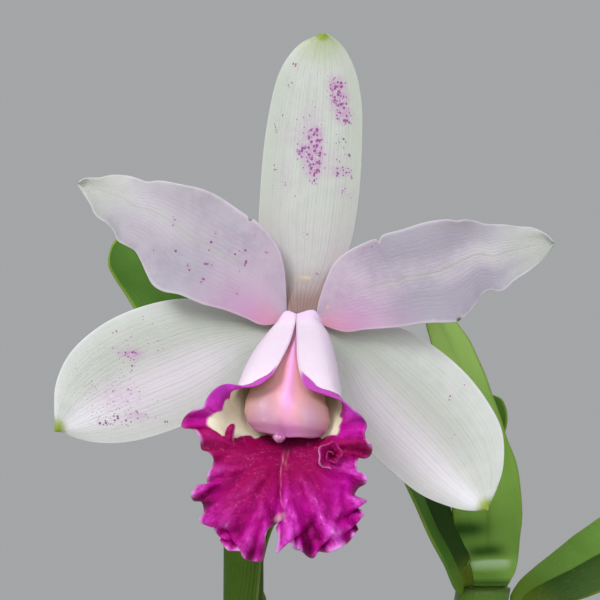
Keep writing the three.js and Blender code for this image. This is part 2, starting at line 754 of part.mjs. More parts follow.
function barkSolid() {
  const low = pot.floor + clearance;
  const bandFoot = pot.height - pot.rimHeight;
  const reach = potRadiusInside(bark.level) - barkGap;
  const profile = [
    [0, low],
    [potRadiusInside(low) - barkGap, low],
    [potRadiusInside(bandFoot) - barkGap, bandFoot],
    [reach, bark.level - 2],
    [reach * 0.6, bark.level + bark.dome * 0.6],
    [0, bark.level + bark.dome],
  ];
  const pieces = [turned(profile)];
  const draw = draws(bark.seed);
  for (let i = 0; i < bark.chips; i += 1) {
    const radius = (reach - bark.edgeRoom) * Math.sqrt((i + 0.5) / bark.chips);
    const angle = i * goldenAngle;
    const chip = new THREE.BoxGeometry(13 + 6 * draw(), 9 + 5 * draw(), 5.4 + 2.6 * draw());
    const corners = chip.attributes.position;
    const taper = 0.62 + 0.3 * draw();
    for (let k = 0; k < corners.count; k += 1) {
      if (corners.getX(k) > 0) corners.setY(k, corners.getY(k) * taper);
    }
    chip.rotateX(0.5 * (draw() - 0.5));
    chip.rotateY(0.5 * (draw() - 0.5));
    chip.rotateZ(2 * Math.PI * draw());
    const level = bark.level + bark.dome * (1 - (radius / reach) ** 2) - 0.6 + 1.6 * draw();
    chip.translate(radius * Math.cos(angle), radius * Math.sin(angle), level);
    pieces.push(chip);
  }
  return largest(joined(pieces).subtract(rhizomePieces(1.5 * clearance)));
}

// Pot: a plain tapered shell with a rim band and drain holes round the solid middle of its floor
function potSolid() {
  const bandFoot = pot.height - pot.rimHeight;
  const insideTop = potRadiusInside(bandFoot);
  const profile = [
    [0, 0],
    [pot.footRadius - 1.5, 0],
    [pot.footRadius, 1.5],
    [pot.topRadius - pot.rimStep, bandFoot],
    [pot.topRadius - 0.6, bandFoot + 0.8],
    [pot.topRadius, bandFoot + 2.5],
    [pot.topRadius, pot.height - 2],
    [pot.topRadius - 1.6, pot.height],
    [insideTop + 1.6, pot.height],
    [insideTop, pot.height - 1.6],
    [insideTop, bandFoot],
    [potRadiusInside(pot.floor), pot.floor],
    [0, pot.floor],
  ];
  let solid = solidOf(turned(profile));
  for (let i = 0; i < pot.holes; i += 1) {
    const angle = (2 * Math.PI * i) / pot.holes;
    const drill = new THREE.CylinderGeometry(pot.holeRadius, pot.holeRadius, pot.floor + 4, 12);
    drill.rotateX(Math.PI / 2);
    drill.translate(pot.holeCircle * Math.cos(angle), pot.holeCircle * Math.sin(angle), pot.floor / 2);
    solid = solid.subtract(solidOf(drill));
  }
  return solid;
}

// Assembly
const plant = new THREE.Group();

function add(group, name, geometry, material) {
  const mesh = new THREE.Mesh(geometry, material);
  mesh.name = name;
  group.add(mesh);
}

const potted = new THREE.Group();
add(potted, "pot", geometryOf(potSolid()), terracotta);
add(potted, "bark_medium", geometryOf(barkSolid()), barkBrown);
plant.add(potted);

const growths = new THREE.Group();
add(growths, "rhizome", geometryOf(rhizomePieces(0)), rootGrey);
for (const [name, spec] of Object.entries(bulbs)) {
  add(growths, "pseudobulb_" + name, bulb(spec), stemGreen);
}
for (const [name, spec] of Object.entries(leaves)) {
  add(growths, name, leaf(spec), leafGreen);
}
add(growths, "spathe", spatheGeometry(), stemGreen);
plant.add(growths);

const flower = new THREE.Group();
add(flower, "pedicel", stalk(), stemGreen);
add(flower, "dorsal_sepal", tepal(dorsalLeft, dorsalRight, dorsalDepth, 13, 6), sepalWhite);
add(flower, "lateral_sepal_left", tepal(leftSepalUpper, leftSepalLower, lateralDepth, 13, 6), sepalWhite);
add(flower, "lateral_sepal_right", tepal(rightSepalUpper, rightSepalLower, lateralDepth, 13, 6), sepalWhite);
add(flower, "petal_left", tepal(leftPetalUpper, leftPetalLower, petalDepth, 15, 8), petalLilac);
add(flower, "petal_right", tepal(rightPetalUpper, rightPetalLower, petalDepth, 15, 8), petalLilac);
add(flower, "lip", lip(28, 20), lipMagenta);
add(flower, "column", column(14, 14), columnPink);
add(flower, "anther_cap", closedAgain(antherGeometry()), antherLilac);
plant.add(flower);

export default plant;
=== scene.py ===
# The looks of a potted Cattleya intermedia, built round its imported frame.
# Outlines, sizes and depths are in millimetres, as in the part, and meshes are made in metres.
import math

import bpy
import numpy as np
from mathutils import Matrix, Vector

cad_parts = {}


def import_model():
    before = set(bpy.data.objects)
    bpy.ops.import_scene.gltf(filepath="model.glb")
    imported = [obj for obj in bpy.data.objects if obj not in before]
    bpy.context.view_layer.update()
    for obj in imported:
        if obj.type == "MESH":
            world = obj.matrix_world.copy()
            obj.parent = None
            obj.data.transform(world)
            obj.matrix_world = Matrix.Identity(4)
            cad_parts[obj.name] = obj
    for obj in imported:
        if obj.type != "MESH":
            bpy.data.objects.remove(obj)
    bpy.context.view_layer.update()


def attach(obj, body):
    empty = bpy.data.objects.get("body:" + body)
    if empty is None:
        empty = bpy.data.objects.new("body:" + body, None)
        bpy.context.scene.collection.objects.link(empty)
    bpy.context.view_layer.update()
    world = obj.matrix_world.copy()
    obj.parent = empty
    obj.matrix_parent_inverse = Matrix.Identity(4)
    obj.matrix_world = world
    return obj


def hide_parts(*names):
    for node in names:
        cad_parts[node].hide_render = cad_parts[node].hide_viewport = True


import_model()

# Driving dimensions
MM = 0.001
BLOOM = np.array([0.0, -25.0, 405.0])
EYE_DISTANCE = 600.0
EYE_RISE = 4.2
FRAME_WIDTH = 139.0
TEPAL_THICKNESS = 0.7
LIP_THICKNESS = 0.6
LEAF_THICKNESS = 1.7
RIM_BULGE = 0.8
RECEPTACLE_RADIUS = 3.0
RHIZOME_LEVEL = 108.0
POT = {
    "height": 122.0,
    "top_radius": 71.0,
    "foot_radius": 48.0,
    "rim_height": 26.0,
    "rim_step": 4.0,
    "wall": 6.0,
    "floor": 8.0,
    "holes": 5,
    "hole_radius": 4.5,
    "hole_circle": 26.0,
}
BARK = {"level": 104.0, "dome": 4.0, "chips": 30, "edge_room": 11.5, "seed": 11}
BARK_GAP = 0.7
GOLDEN_ANGLE = 2.39996
TOWARDS_EYE = (0, -1, 0)


# Numbers and curves
def shares(steps):
    return np.linspace(0, 1, steps + 1)


def around(sides):
    """The angles of the points of a ring"""
    return 2 * np.pi * np.arange(sides) / sides


def crossed(first, second):
    """Both lines of numbers as grids, the first one down the rows"""
    return np.meshgrid(first, second, indexing="ij")


def smooth(low, high, x):
    """An eased step from 0 at low to 1 at high"""
    share = np.clip((np.asarray(x, float) - low) / (high - low), 0, 1)
    return share * share * (3 - 2 * share)


def bell(x, middle, width):
    """A smooth hump with its top of 1 at the middle"""
    return np.exp(-(((x - middle) / width) ** 2))


def along(knots, x):
    """The value at x of a line through [x, value] knots, eased between them"""
    places, values = np.array(knots, float).T
    x = np.clip(np.asarray(x, float), places[0], places[-1])
    span = np.clip(np.searchsorted(places, x, side="right") - 1, 0, len(places) - 2)
    return values[span] + (values[span + 1] - values[span]) * smooth(places[span], places[span + 1], x)


def eased(knots, x, window):
    """That line with its corners rounded over a window"""
    offsets = window * np.linspace(-1, 1, 9)
    return np.mean([along(knots, x + offset) for offset in offsets], axis=0)


def unit(vectors):
    return vectors / np.maximum(np.linalg.norm(vectors, axis=-1, keepdims=True), 1e-12)


def run_length(line):
    """The way from the start of a line to each of its points"""
    return np.concatenate([[0], np.cumsum(np.linalg.norm(np.diff(line, axis=0), axis=1))])


def curve_points(points, u):
    """Points at the parameters u, from 0 to 1, of the centripetal Catmull-Rom curve through points"""
    points = np.asarray(points, float)
    last = len(points) - 1
    padded = np.concatenate([2 * points[:1] - points[1:2], points, 2 * points[-1:] - points[-2:-1]])
    place = np.clip(np.asarray(u, float), 0, 1) * last
    span = np.minimum(place.astype(int), last - 1)
    w = (place - span).reshape((-1,) + (1,) * (points.ndim - 1))
    p0, p1, p2, p3 = (padded[span + k] for k in range(4))

    def root_length(a, b):
        return np.maximum(np.sqrt(np.linalg.norm(b - a, axis=-1, keepdims=True)), 1e-4)

    before, here, after = root_length(p0, p1), root_length(p1, p2), root_length(p2, p3)
    leave = ((p1 - p0) / before - (p2 - p0) / (before + here) + (p2 - p1) / here) * here
    arrive = ((p2 - p1) / here - (p3 - p1) / (here + after) + (p3 - p2) / after) * here
    square = -3 * p1 + 3 * p2 - 2 * leave - arrive
    cube = 2 * p1 - 2 * p2 + leave + arrive
    return p1 + w * (leave + w * (square + w * cube))


def by_length(points, s, samples=600):
    """Points at the shares s of that curve's length"""
    u = shares(samples)
    run = run_length(curve_points(points, u))
    return curve_points(points, np.interp(np.asarray(s) * run[-1], run, u))


def tangents(points, s, step=1e-3):
    low, high = np.clip(s - step, 0, 1), np.clip(s + step, 0, 1)
    return unit(by_length(points, high) - by_length(points, low))


def facing(right, up, depth):
    """A point by its place in the front outline, taken at the bloom's centre plane as the eye sees it,
    and its depth towards the eye"""
    nearness = (EYE_DISTANCE - depth) / EYE_DISTANCE
    x = BLOOM[0] + right * nearness
    z = BLOOM[2] + EYE_RISE + (up - EYE_RISE) * nearness
    return np.stack([x, BLOOM[1] - depth, z], axis=-1)


def facing_line(places):
    return facing(*np.array(places, float).T)


def facing_grid(grid):
    return facing(grid[..., 0], grid[..., 1], grid[..., 2])


def ripple(x, seed, octaves=4):
    """A smooth wandering value about 0, with features about 1 long in x"""
    draw = np.random.default_rng(seed)
    total = 0.0
    for k in range(octaves):
        pitch = 2 * math.pi * draw.uniform(0.35, 1.1) * 1.6**k / 1.6
        total = total + np.sin(pitch * x + draw.uniform(0, 2 * math.pi)) / 1.7**k
    return total / 1.8


def draws(seed):
    """The seeded draw of numbers between 0 and 1 that also places the chips of the solids"""
    state, span = seed, 2**32
    while True:
        state = (state * 1664525 + 1013904223) % span
        yield state / span


# Meshes. A shape is its points in mm, its faces, and its masks: a value, or three, for each point.
def mesh_object(name, points, faces):
    mesh = bpy.data.meshes.new(name)
    mesh.from_pydata(points.tolist(), [], faces)
    made = bpy.data.objects.new(name, mesh)
    bpy.context.scene.collection.objects.link(made)
    return made


def piece(name, shape, look, nodes):
    """An object of the plant, in place of the frame's nodes"""
    points, faces, masks = shape
    made = mesh_object(name, points * MM, faces)
    mesh = made.data
    mesh.polygons.foreach_set("use_smooth", np.ones(len(mesh.polygons), bool))
    for mask, values in masks.items():
        values = np.asarray(values, np.float32)
        kind, field = ("FLOAT", "value") if values.ndim == 1 else ("FLOAT_VECTOR", "vector")
        mesh.attributes.new(mask, kind, "POINT").data.foreach_set(field, values.ravel())
    mesh.materials.append(look)
    mesh.validate()
    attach(made, "root")
    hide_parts(*nodes)
    return made


def merged(shapes):
    """Several shapes as one"""
    faces, start = [], 0
    for points, part_faces, _ in shapes:
        faces += [[corner + start for corner in face] for face in part_faces]
        start += len(points)
    masks = {key: np.concatenate([shape[2][key] for shape in shapes]) for key in shapes[0][2]}
    return np.concatenate([shape[0] for shape in shapes]), faces, masks


def grid_normals(grid, towards):
    normal = unit(np.cross(np.gradient(grid, axis=0), np.gradient(grid, axis=1)))
    turned = float(np.sum(normal @ np.asarray(towards, float))) < 0
    return (-normal if turned else normal), turned


def sheet(grid, thickness, towards, masks):
    """The shape of a blade with a round rim about the middle surface in grid. masks holds a value for
    each of its points, and face is added: 1 on the side that looks towards, 0 on the other"""
    rows, columns = grid.shape[:2]
    size = rows * columns
    normal, turned = grid_normals(grid, towards)
    half = np.broadcast_to(np.asarray(thickness, float) / 2, (rows, columns))[..., None]
    index = np.arange(size).reshape(rows, columns)
    loop = np.concatenate([index[0], index[1:, -1], index[-1, -2::-1], index[-2:0:-1, 0]])
    nearest = np.pad(index[1:-1, 1:-1], 1, mode="edge").ravel()[loop]
    flat = grid.reshape(-1, 3)
    outward = unit(flat[loop] - flat[nearest])
    middle = flat[loop] + outward * half.reshape(-1, 1)[loop] * RIM_BULGE
    sides = [(grid + way * half).reshape(-1, 3) for way in (normal, -normal)]

    a, b, c, d = (part.ravel() for part in (index[:-1, :-1], index[:-1, 1:], index[1:, 1:], index[1:, :-1]))
    front = np.stack([a, d, c, b], axis=1)
    back = np.stack([a, b, c, d], axis=1) + size
    ahead = np.roll(loop, -1)
    rim = 2 * size + np.arange(len(loop))
    rim_ahead = np.roll(rim, -1)
    upper = np.stack([loop, ahead, rim_ahead, rim], axis=1)
    lower = np.stack([rim, rim_ahead, ahead + size, loop + size], axis=1)
    faces = np.concatenate([front, back, upper, lower])
    if turned:
        faces = faces[:, ::-1]

    full = {}
    for key, values in masks.items():
        values = np.broadcast_to(np.asarray(values, float), (rows, columns) + np.shape(values)[2:])
        values = values.reshape((size,) + values.shape[2:])
        full[key] = np.concatenate([values, values, values[loop]])
    full["face"] = np.concatenate([np.ones(size), np.zeros(size), np.full(len(loop), 0.5)])
    return np.concatenate([*sides, middle]), faces.tolist(), full


def ring_walls(count, sides):
    """The numbers of the points of rings, of the points ahead of them, and the faces between rings"""
    index = np.arange(count * sides).reshape(count, sides)
    ahead = np.roll(index, -1, axis=1)
    walls = np.stack([index[:-1], ahead[:-1], ahead[1:], index[1:]], axis=-1).reshape(-1, 4)
    return index, ahead, walls.tolist()


def loft(rings, masks):
    """The shape of a closed solid through rings of points, with a hub at each end"""
    count, sides = rings.shape[:2]
    hubs = np.stack([rings[0].mean(axis=0), rings[-1].mean(axis=0)])
    points = np.concatenate([rings.reshape(-1, 3), hubs])
    index, ahead, faces = ring_walls(count, sides)
    first, last = count * sides, count * sides + 1
    faces += [[first, int(b), int(a)] for a, b in zip(index[0], ahead[0])]
    faces += [[last, int(a), int(b)] for a, b in zip(index[-1], ahead[-1])]
    ring = rings[count // 2]
    way = rings[count // 2 + 1 if count > 2 else 1].mean(axis=0) - ring.mean(axis=0)
    if np.dot(np.cross(ring[1] - ring[0], way), ring[0] - ring.mean(axis=0)) < 0:
        faces = [face[::-1] for face in faces]
    full = {}
    for key, values in masks.items():
        values = np.broadcast_to(values, (count, sides) + np.shape(values)[2:])
        ends = np.stack([values[0].mean(axis=0), values[-1].mean(axis=0)])
        full[key] = np.concatenate([values.reshape((-1,) + values.shape[2:]), ends])
    return points, faces, full


def rings_along(path, radius, steps, sides, relief=None, level=False):
    """Rings of points about a curve, with radius(s), and with relief(s, angle) added to it. Level rings
    lie flat, and others turn with the curve"""
    s, angle = shares(steps), around(sides)
    centres = by_length(path, s)
    ways = np.tile([0.0, 0.0, 1.0], (steps + 1, 1)) if level else tangents(path, s)
    across = np.array([1.0, 0, 0]) if abs(ways[0][0]) < 0.9 else np.array([0, 1.0, 0])
    size = np.broadcast_to(radius(s), s.shape)[:, None] + np.zeros(sides)
    if relief is not None:
        size = size + relief(s[:, None], angle[None, :])
    rings = np.empty((steps + 1, sides, 3))
    for i, way in enumerate(ways):
        across = unit(across - across.dot(way) * way)
        spread = np.cos(angle)[:, None] * across + np.sin(angle)[:, None] * np.cross(way, across)
        rings[i] = centres[i] + size[i][:, None] * spread
    return rings


def turned_rings(profile, sides):
    """Rings about Z from a profile of [radius, height]"""
    angle = around(sides)
    radius, height = np.array(profile, float).T
    circle = np.stack([np.cos(angle), np.sin(angle)], axis=-1)
    flat = radius[:, None, None] * circle
    return np.concatenate([flat, np.broadcast_to(height[:, None, None], flat.shape[:2] + (1,))], axis=-1)


def squared(value, power):
    """A sine or cosine raised to a power below 1, which makes a round section boxy"""
    return np.sign(value) * np.abs(value) ** power


# Materials. Colours are their 0 to 255 screen values.
def rgb(red, green, blue):
    screen = np.array([red, green, blue]) / 255
    linear = np.where(screen <= 0.04045, screen / 12.92, ((screen + 0.055) / 1.055) ** 2.4)
    return (*linear.tolist(), 1.0)


class Look:
    """A material on one Principled shader, with short ways to put nodes in front of it"""

    def __init__(self, name, roughness=0.5, specular=0.5, subsurface=0.0, coat=0.0, sheen=0.0):
        self.material = bpy.data.materials.new(name)
        self.material.use_nodes = True
        self.tree = self.material.node_tree
        self.shader = self.tree.nodes["Principled BSDF"]
        self.set("Roughness", roughness)
        self.set("Specular IOR Level", specular)
        self.set("Coat Weight", coat)
        self.set("Coat Roughness", 0.25)
        self.set("Sheen Weight", sheen)
        self.set("Subsurface Weight", subsurface)
        self.set("Subsurface Radius", (1.0, 0.7, 0.6))
        self.set("Subsurface Scale", 1.2 * MM)

    def set(self, socket, value):
        self.feed(self.shader.inputs[socket], value)

    def feed(self, socket, value):
        if isinstance(value, bpy.types.NodeSocket):
            self.tree.links.new(value, socket)
        else:
            socket.default_value = value

    def node(self, kind, inputs=(), **settings):
        """A node with its settings, and with values or links for its inputs by their names or numbers"""
        made = self.tree.nodes.new("ShaderNode" + kind)
        for key, value in settings.items():
            setattr(made, key, value)
        for key, value in dict(inputs).items():
            self.feed(made.inputs[key], value)
        return made

    def mask(self, name):
        return self.node("Attribute", attribute_name=name).outputs["Fac"]

    def place(self, name="place"):
        """A place that the mesh carries in one of its masks"""
        return self.node("Attribute", attribute_name=name).outputs["Vector"]

    def space(self):
        """The place on the plant in millimetres"""
        return self.stretched(self.node("TexCoord").outputs["Object"], (1 / MM, 1 / MM, 1 / MM))

    def math(self, operation, first, second=0.0, third=0.0):
        return self.node("Math", enumerate((first, second, third)), operation=operation).outputs[0]

    def times(self, product, *values):
        for value in values:
            product = self.math("MULTIPLY", product, value)
        return product

    def fit(self, value, low, high, new_low=0.0, new_high=1.0):
        """value from low to high as new_low to new_high, eased and clamped"""
        inputs = {"Value": value, "From Min": low, "From Max": high, "To Min": new_low, "To Max": new_high}
        return self.node("MapRange", inputs, interpolation_type="SMOOTHSTEP").outputs["Result"]

    def mix(self, share, first, second):
        return self.node("Mix", {"Factor": share, 6: first, 7: second}, data_type="RGBA").outputs[2]

    def blend(self, share, first, second):
        """From the first screen colour to the second"""
        return self.mix(share, rgb(*first), rgb(*second))

    def tint(self, color, *washes):
        """color under washes, each as (a mask's name or a value, its strength, red, green, blue)"""
        for share, strength, *screen_color in washes:
            share = self.mask(share) if isinstance(share, str) else share
            share = share if strength == 1 else self.times(share, strength)
            color = self.mix(share, color, rgb(*screen_color))
        return color

    def ramp(self, share, *stops):
        made = self.node("ValToRGB", {"Fac": share})
        elements = made.color_ramp.elements
        while len(elements) < len(stops):
            elements.new(0.5)
        for element, (position, *screen_color) in zip(elements, stops):
            element.position = position
            element.color = rgb(*screen_color)
        return made.outputs["Color"]

    def stretched(self, vector, scale):
        return self.node("Mapping", {"Vector": vector, "Scale": scale}).outputs["Vector"]

    def noise(self, vector, scale, detail=3.0, roughness=0.55):
        inputs = {"Vector": vector, "Scale": scale, "Detail": detail, "Roughness": roughness}
        return self.node("TexNoise", inputs).outputs["Fac"]

    def veins(self, count, wander, width):
        """Lines that run lengthwise, evenly shared over the blade's width: 1 on a line and 0 between"""
        drift = self.noise(self.stretched(self.place(), (0.12, 0.12, 0.12)), 1.0)
        turn = self.math("MULTIPLY_ADD", drift, wander, self.times(self.mask("across"), count))
        return self.fit(self.math("PINGPONG", turn, 1.0), 0.0, width, 1.0, 0.0)

    def spots(self, base, amount, per_mm, size, spot_color, strength=0.85):
        """Small round spots on base, in as many cells of a noise as the amount mask allows"""
        cells = self.node("TexVoronoi", {"Vector": self.place(), "Scale": per_mm})
        chance = self.node("SeparateColor", {"Color": cells.outputs["Color"]}).outputs["Red"]
        wanted = self.math("LESS_THAN", chance, self.mask(amount))
        radius = self.math("MULTIPLY_ADD", chance, size * 0.8, size * 0.55)
        inside = self.fit(self.math("SUBTRACT", cells.outputs["Distance"], radius), -0.12, 0.02, 1.0, 0.0)
        return self.mix(self.times(inside, wanted, strength), base, rgb(*spot_color))

    def finished(self, color, relief, depth_mm):
        """The material with its colour and with its relief as a bump"""
        self.set("Base Color", color)
        bump = self.node("Bump", {"Distance": depth_mm * MM, "Height": relief})
        self.set("Normal", bump.outputs["Normal"])
        return self.material


def sepal_look():
    """White to grey-green with fine lengthwise veins, stained at the base and green at the tip"""
    look = Look("sepal_skin", roughness=0.46, specular=0.4, subsurface=0.2, sheen=0.05)
    place = look.place()
    cloud = look.noise(place, 0.07, 4)
    mottle = look.noise(place, 0.3, 5, 0.6)
    grain = look.noise(place, 2.4, 5)
    thin = look.times(look.veins(11.0, 0.45, 0.2), 0.8)
    fine = look.times(look.veins(27.0, 0.5, 0.42), 0.55)
    line = look.math("MAXIMUM", thin, fine)
    fade = look.fit(look.math("ABSOLUTE", look.mask("across")), 0.6, 0.97, 1.0, 0.15)
    broken = look.times(line, fade, look.fit(mottle, 0.25, 0.7, 0.45, 1.0))
    haze = look.times(look.mask("haze"), look.fit(look.noise(place, 0.9, 3), 0.3, 0.6, 0.15, 0.6))
    front = look.tint(
        look.blend(cloud, (204, 212, 204), (216, 216, 218)),
        (look.fit(mottle, 0.3, 0.7), 0.4, 196, 204, 198),
        ("lit", 0.8, 242, 240, 248),
        ("shade", 0.55, 176, 186, 172),
        ("lilac", 0.8, 196, 178, 192),
        (broken, 0.22, 150, 138, 134),
        ("stain", 0.85, 150, 112, 106),
        (look.times(look.mask("stain"), line), 0.6, 96, 70, 52),
        ("fleck", 0.8, 222, 202, 164),
        ("tip", 1, 150, 172, 56),
        (haze, 1, 190, 116, 192),
    )
    front = look.spots(front, "spotting", 1.45, 0.46, (140, 30, 134))
    front = look.spots(front, "speckle", 1.9, 0.34, (140, 84, 132), 0.65)
    back = look.tint(
        look.blend(cloud, (196, 204, 180), (212, 210, 204)),
        (broken, 0.4, 160, 166, 136),
        (look.fit(look.mask("along"), 0.0, 0.5, 1.0, 0.0), 0.5, 176, 188, 132),
    )
    look.set("Roughness", look.fit(grain, 0.2, 0.8, 0.38, 0.54))
    relief = look.math("ADD", look.times(broken, -0.5), look.times(grain, 0.4))
    return look.finished(look.mix(look.mask("face"), back, front), relief, 0.12)


def petal_look():
    """Lilac white, pink towards the base, with a thin green midrib and faint veins"""
    look = Look("petal_skin", roughness=0.48, specular=0.4, subsurface=0.22, sheen=0.06)
    place = look.place()
    cloud = look.noise(place, 0.08, 4)
    mottle = look.noise(place, 0.45, 5, 0.6)
    grain = look.noise(place, 2.4, 5)
    fade = look.fit(look.math("ABSOLUTE", look.mask("across")), 0.5, 0.95, 1.0, 0.15)
    line = look.times(look.veins(21.0, 0.9, 0.4), fade, look.fit(mottle, 0.3, 0.65, 0.3, 1.0))
    front = look.tint(
        look.blend(look.fit(cloud, 0.3, 0.7), (176, 168, 184), (202, 196, 206)),
        (look.fit(mottle, 0.35, 0.65), 0.4, 208, 202, 212),
        (look.math("MINIMUM", look.mask("shade"), 1.0), 0.8, 160, 155, 172),
        ("lit", 0.6, 222, 224, 224),
        ("blush", 0.95, 206, 144, 198),
        ("warm", 0.6, 226, 160, 172),
        (line, 0.09, 170, 140, 172),
        ("midrib", 0.3, 172, 182, 152),
        ("tip", 0.6, 186, 196, 180),
        ("edge", 0.35, 232, 228, 232),
        ("spotting", 0.14, 190, 140, 196),
    )
    front = look.spots(front, "spotting", 0.85, 0.4, (138, 58, 138))
    front = look.tint(front, ("fleck", 0.8, 238, 190, 158), ("bruise", 1, 84, 60, 40))
    back = look.tint(
        look.blend(cloud, (200, 190, 202), (216, 206, 214)),
        ("midrib", 0.8, 166, 176, 128),
        (line, 0.25, 176, 156, 174),
    )
    look.set("Roughness", look.fit(grain, 0.2, 0.8, 0.4, 0.56))
    relief = look.math("ADD", look.times(line, -0.3), look.times(grain, 0.45))
    relief = look.math("SUBTRACT", relief, look.times(look.mask("midrib"), 0.4))
    return look.finished(look.mix(look.mask("face"), back, front), relief, 0.13)


def lip_look():
    """A pale tube with a magenta margin, a cream inside and a crimson to magenta midlobe, with painted
    shade in the valleys of its folds and painted highlights on their crests and margins
    """
    look = Look("lip_skin", roughness=0.42, specular=0.4, subsurface=0.12)
    # relief is the shading of the folds, which the colour below paints on as shade and highlights
    face, reach, relief = look.mask("face"), look.mask("reach"), look.mask("relief")
    place, fan_place = look.place(), look.place("fan")
    mottle = look.noise(place, 0.3, 4)
    grain = look.noise(place, 2.8, 5)
    inside = look.blend(mottle, (238, 228, 196), (246, 238, 216))
    outside = look.tint(look.blend(mottle, (255, 228, 255), (255, 240, 255)), ("lilac", 0.6, 230, 180, 246))

    deep = look.blend(mottle, (138, 0, 66), (172, 0, 90))
    bright = look.blend(look.noise(place, 0.5, 3), (170, 0, 124), (208, 8, 176))
    fan = look.noise(fan_place, 1.0, 5, 0.7)
    # Painted highlights: pink on the crests of the folds, and pale glints over them
    crest = look.times(
        look.fit(relief, 0.42, 0.85),
        look.fit(reach, 0.3, 0.85, 0.2, 1.0),
        look.fit(fan, 0.36, 0.62, 0.1, 1.0),
    )
    painted_glint = look.times(look.fit(look.noise(fan_place, 3.2, 3, 0.8), 0.56, 0.68), crest)
    # The frill's own lavender margin, made lighter where the folds stand up as a painted highlight
    edge = look.times(look.mask("frill"), look.fit(relief, 0.4, 0.8, 0.1, 1.0))
    # Painted highlights: a pink sparkle over the midlobe, most near the throat
    painted_glitter = look.times(
        look.fit(look.noise(place, 1.2, 4, 0.8), 0.52, 0.68),
        look.fit(look.noise(place, 0.25, 3), 0.4, 0.58),
        look.fit(reach, 0.2, 0.8, 0.8, 0.35),
    )
    magenta = look.tint(
        look.mix(look.fit(reach, 0.2, 0.75), deep, bright),
        # painted shade: darker crimson in the valleys of the folds
        (look.fit(relief, 0.05, 0.5, 0.85, 0.0), 1, 112, 0, 66),
        (crest, 0.9, 232, 84, 220),
        (painted_glint, 0.7, 250, 190, 246),
        # painted shade: darker streaks where the fan noise is low, along the valleys of the bump
        (look.fit(fan, 0.34, 0.5, 1.0, 0.0), 0.5, 128, 0, 74),
        (edge, 0.8, 232, 168, 238),
        ("violet", 0.85, 204, 66, 208),
        (painted_glitter, 0.6, 238, 92, 164),
    )
    underside = look.blend(mottle, (190, 84, 168), (214, 124, 196))
    pigment = look.mix(look.times(look.math("SUBTRACT", 1.0, face), 0.45), magenta, underside)

    drift = look.math("SUBTRACT", look.noise(place, 0.5, 4), 0.5)
    wavy = look.math("MULTIPLY_ADD", drift, 0.6, look.mask("pigment"))
    band = look.mix(look.fit(wavy, 0.3, 0.8), rgb(226, 150, 200), pigment)
    color = look.tint(
        look.mix(look.fit(wavy, 0.2, 0.66), look.mix(face, outside, inside), band),
        ("crease", 0.65, 232, 150, 164),
        ("pale", 0.75, 214, 176, 178),
        # painted highlight: a pale line along the margins of the tube and of its small rolled blades
        ("rim", 0.8, 240, 206, 238),
    )
    look.set("Roughness", look.fit(grain, 0.2, 0.8, 0.3, 0.52))
    look.set("Specular Tint", look.blend(look.fit(wavy, 0.3, 0.7), (255, 255, 255), (255, 120, 236)))
    folds = look.times(fan, 1.6, look.fit(wavy, 0.3, 0.7, 0.1, 1.0))
    return look.finished(color, look.math("ADD", folds, look.times(grain, 0.7)), 0.24)


def column_look():
    """Pink along the front ridge, beige at the flanks, violet at the mouth"""
    look = Look("column_skin", roughness=0.38, specular=0.45, subsurface=0.25)
    place = look.place()
    color = look.tint(
        look.blend(look.noise(place, 0.25, 4), (194, 150, 140), (206, 164, 152)),
        # pink is the column's own colour; near the top it also paints light where the roof shades it
        ("pink", 1, 250, 176, 192),
        ("lobe", 0.8, 206, 156, 186),
        ("low", 0.9, 178, 106, 152),
        # painted light: a brighter pink on the top, which lies in the shadow of the roof
        ("painted_slit_light", 1, 255, 180, 208),
        ("ridge", 0.75, 250, 176, 248),
        ("mouth", 0.5, 196, 104, 180),
        # dark crimson under the hood's end: partly its own dark colour there, partly painted shade
        ("hollow_and_shade", 0.95, 104, 6, 40),
    )
    return look.finished(color, look.noise(place, 1.8, 4), 0.08)


def anther_look():
    """Mottled lilac, smooth and a little glossy"""
    look = Look("anther_skin", roughness=0.24, specular=0.6, subsurface=0.2, coat=0.3)
    mottle = look.noise(look.space(), 0.8, 3)
    color = look.blend(look.fit(mottle, 0.35, 0.65), (186, 92, 160), (216, 156, 196))
    return look.finished(color, mottle, 0.1)


def stalk_look():
    """Green with reddish flecks, pale next to the bloom"""
    look = Look("stalk_skin", roughness=0.42, subsurface=0.15)
    space = look.space()
    color = look.tint(
        look.blend(look.noise(space, 0.22, 4), (150, 168, 92), (176, 188, 122)),
        (look.fit(look.mask("along"), 0.0, 0.22, 1.0, 0.0), 1, 226, 214, 206),
        (look.fit(look.noise(space, 1.6, 2), 0.6, 0.72), 0.6, 142, 92, 96),
    )
    return look.finished(color, look.noise(look.stretched(space, (1, 1, 0.25)), 2.0, 4), 0.12)


def spathe_look():
    """Deep green with fine lines, and a paler edge and tip"""
    look = Look("spathe_skin", roughness=0.42, specular=0.25, subsurface=0.08)
    lines = look.veins(40.0, 0.5, 0.5)
    color = look.tint(
        look.blend(look.noise(look.space(), 0.12, 4), (48, 80, 4), (70, 102, 10)),
        (lines, 0.2, 98, 122, 34),
        ("edge", 0.6, 118, 134, 62),
        ("tip", 0.6, 150, 128, 78),
    )
    return look.finished(color, look.math("ADD", lines, look.noise(look.place(), 1.5, 3)), 0.12)


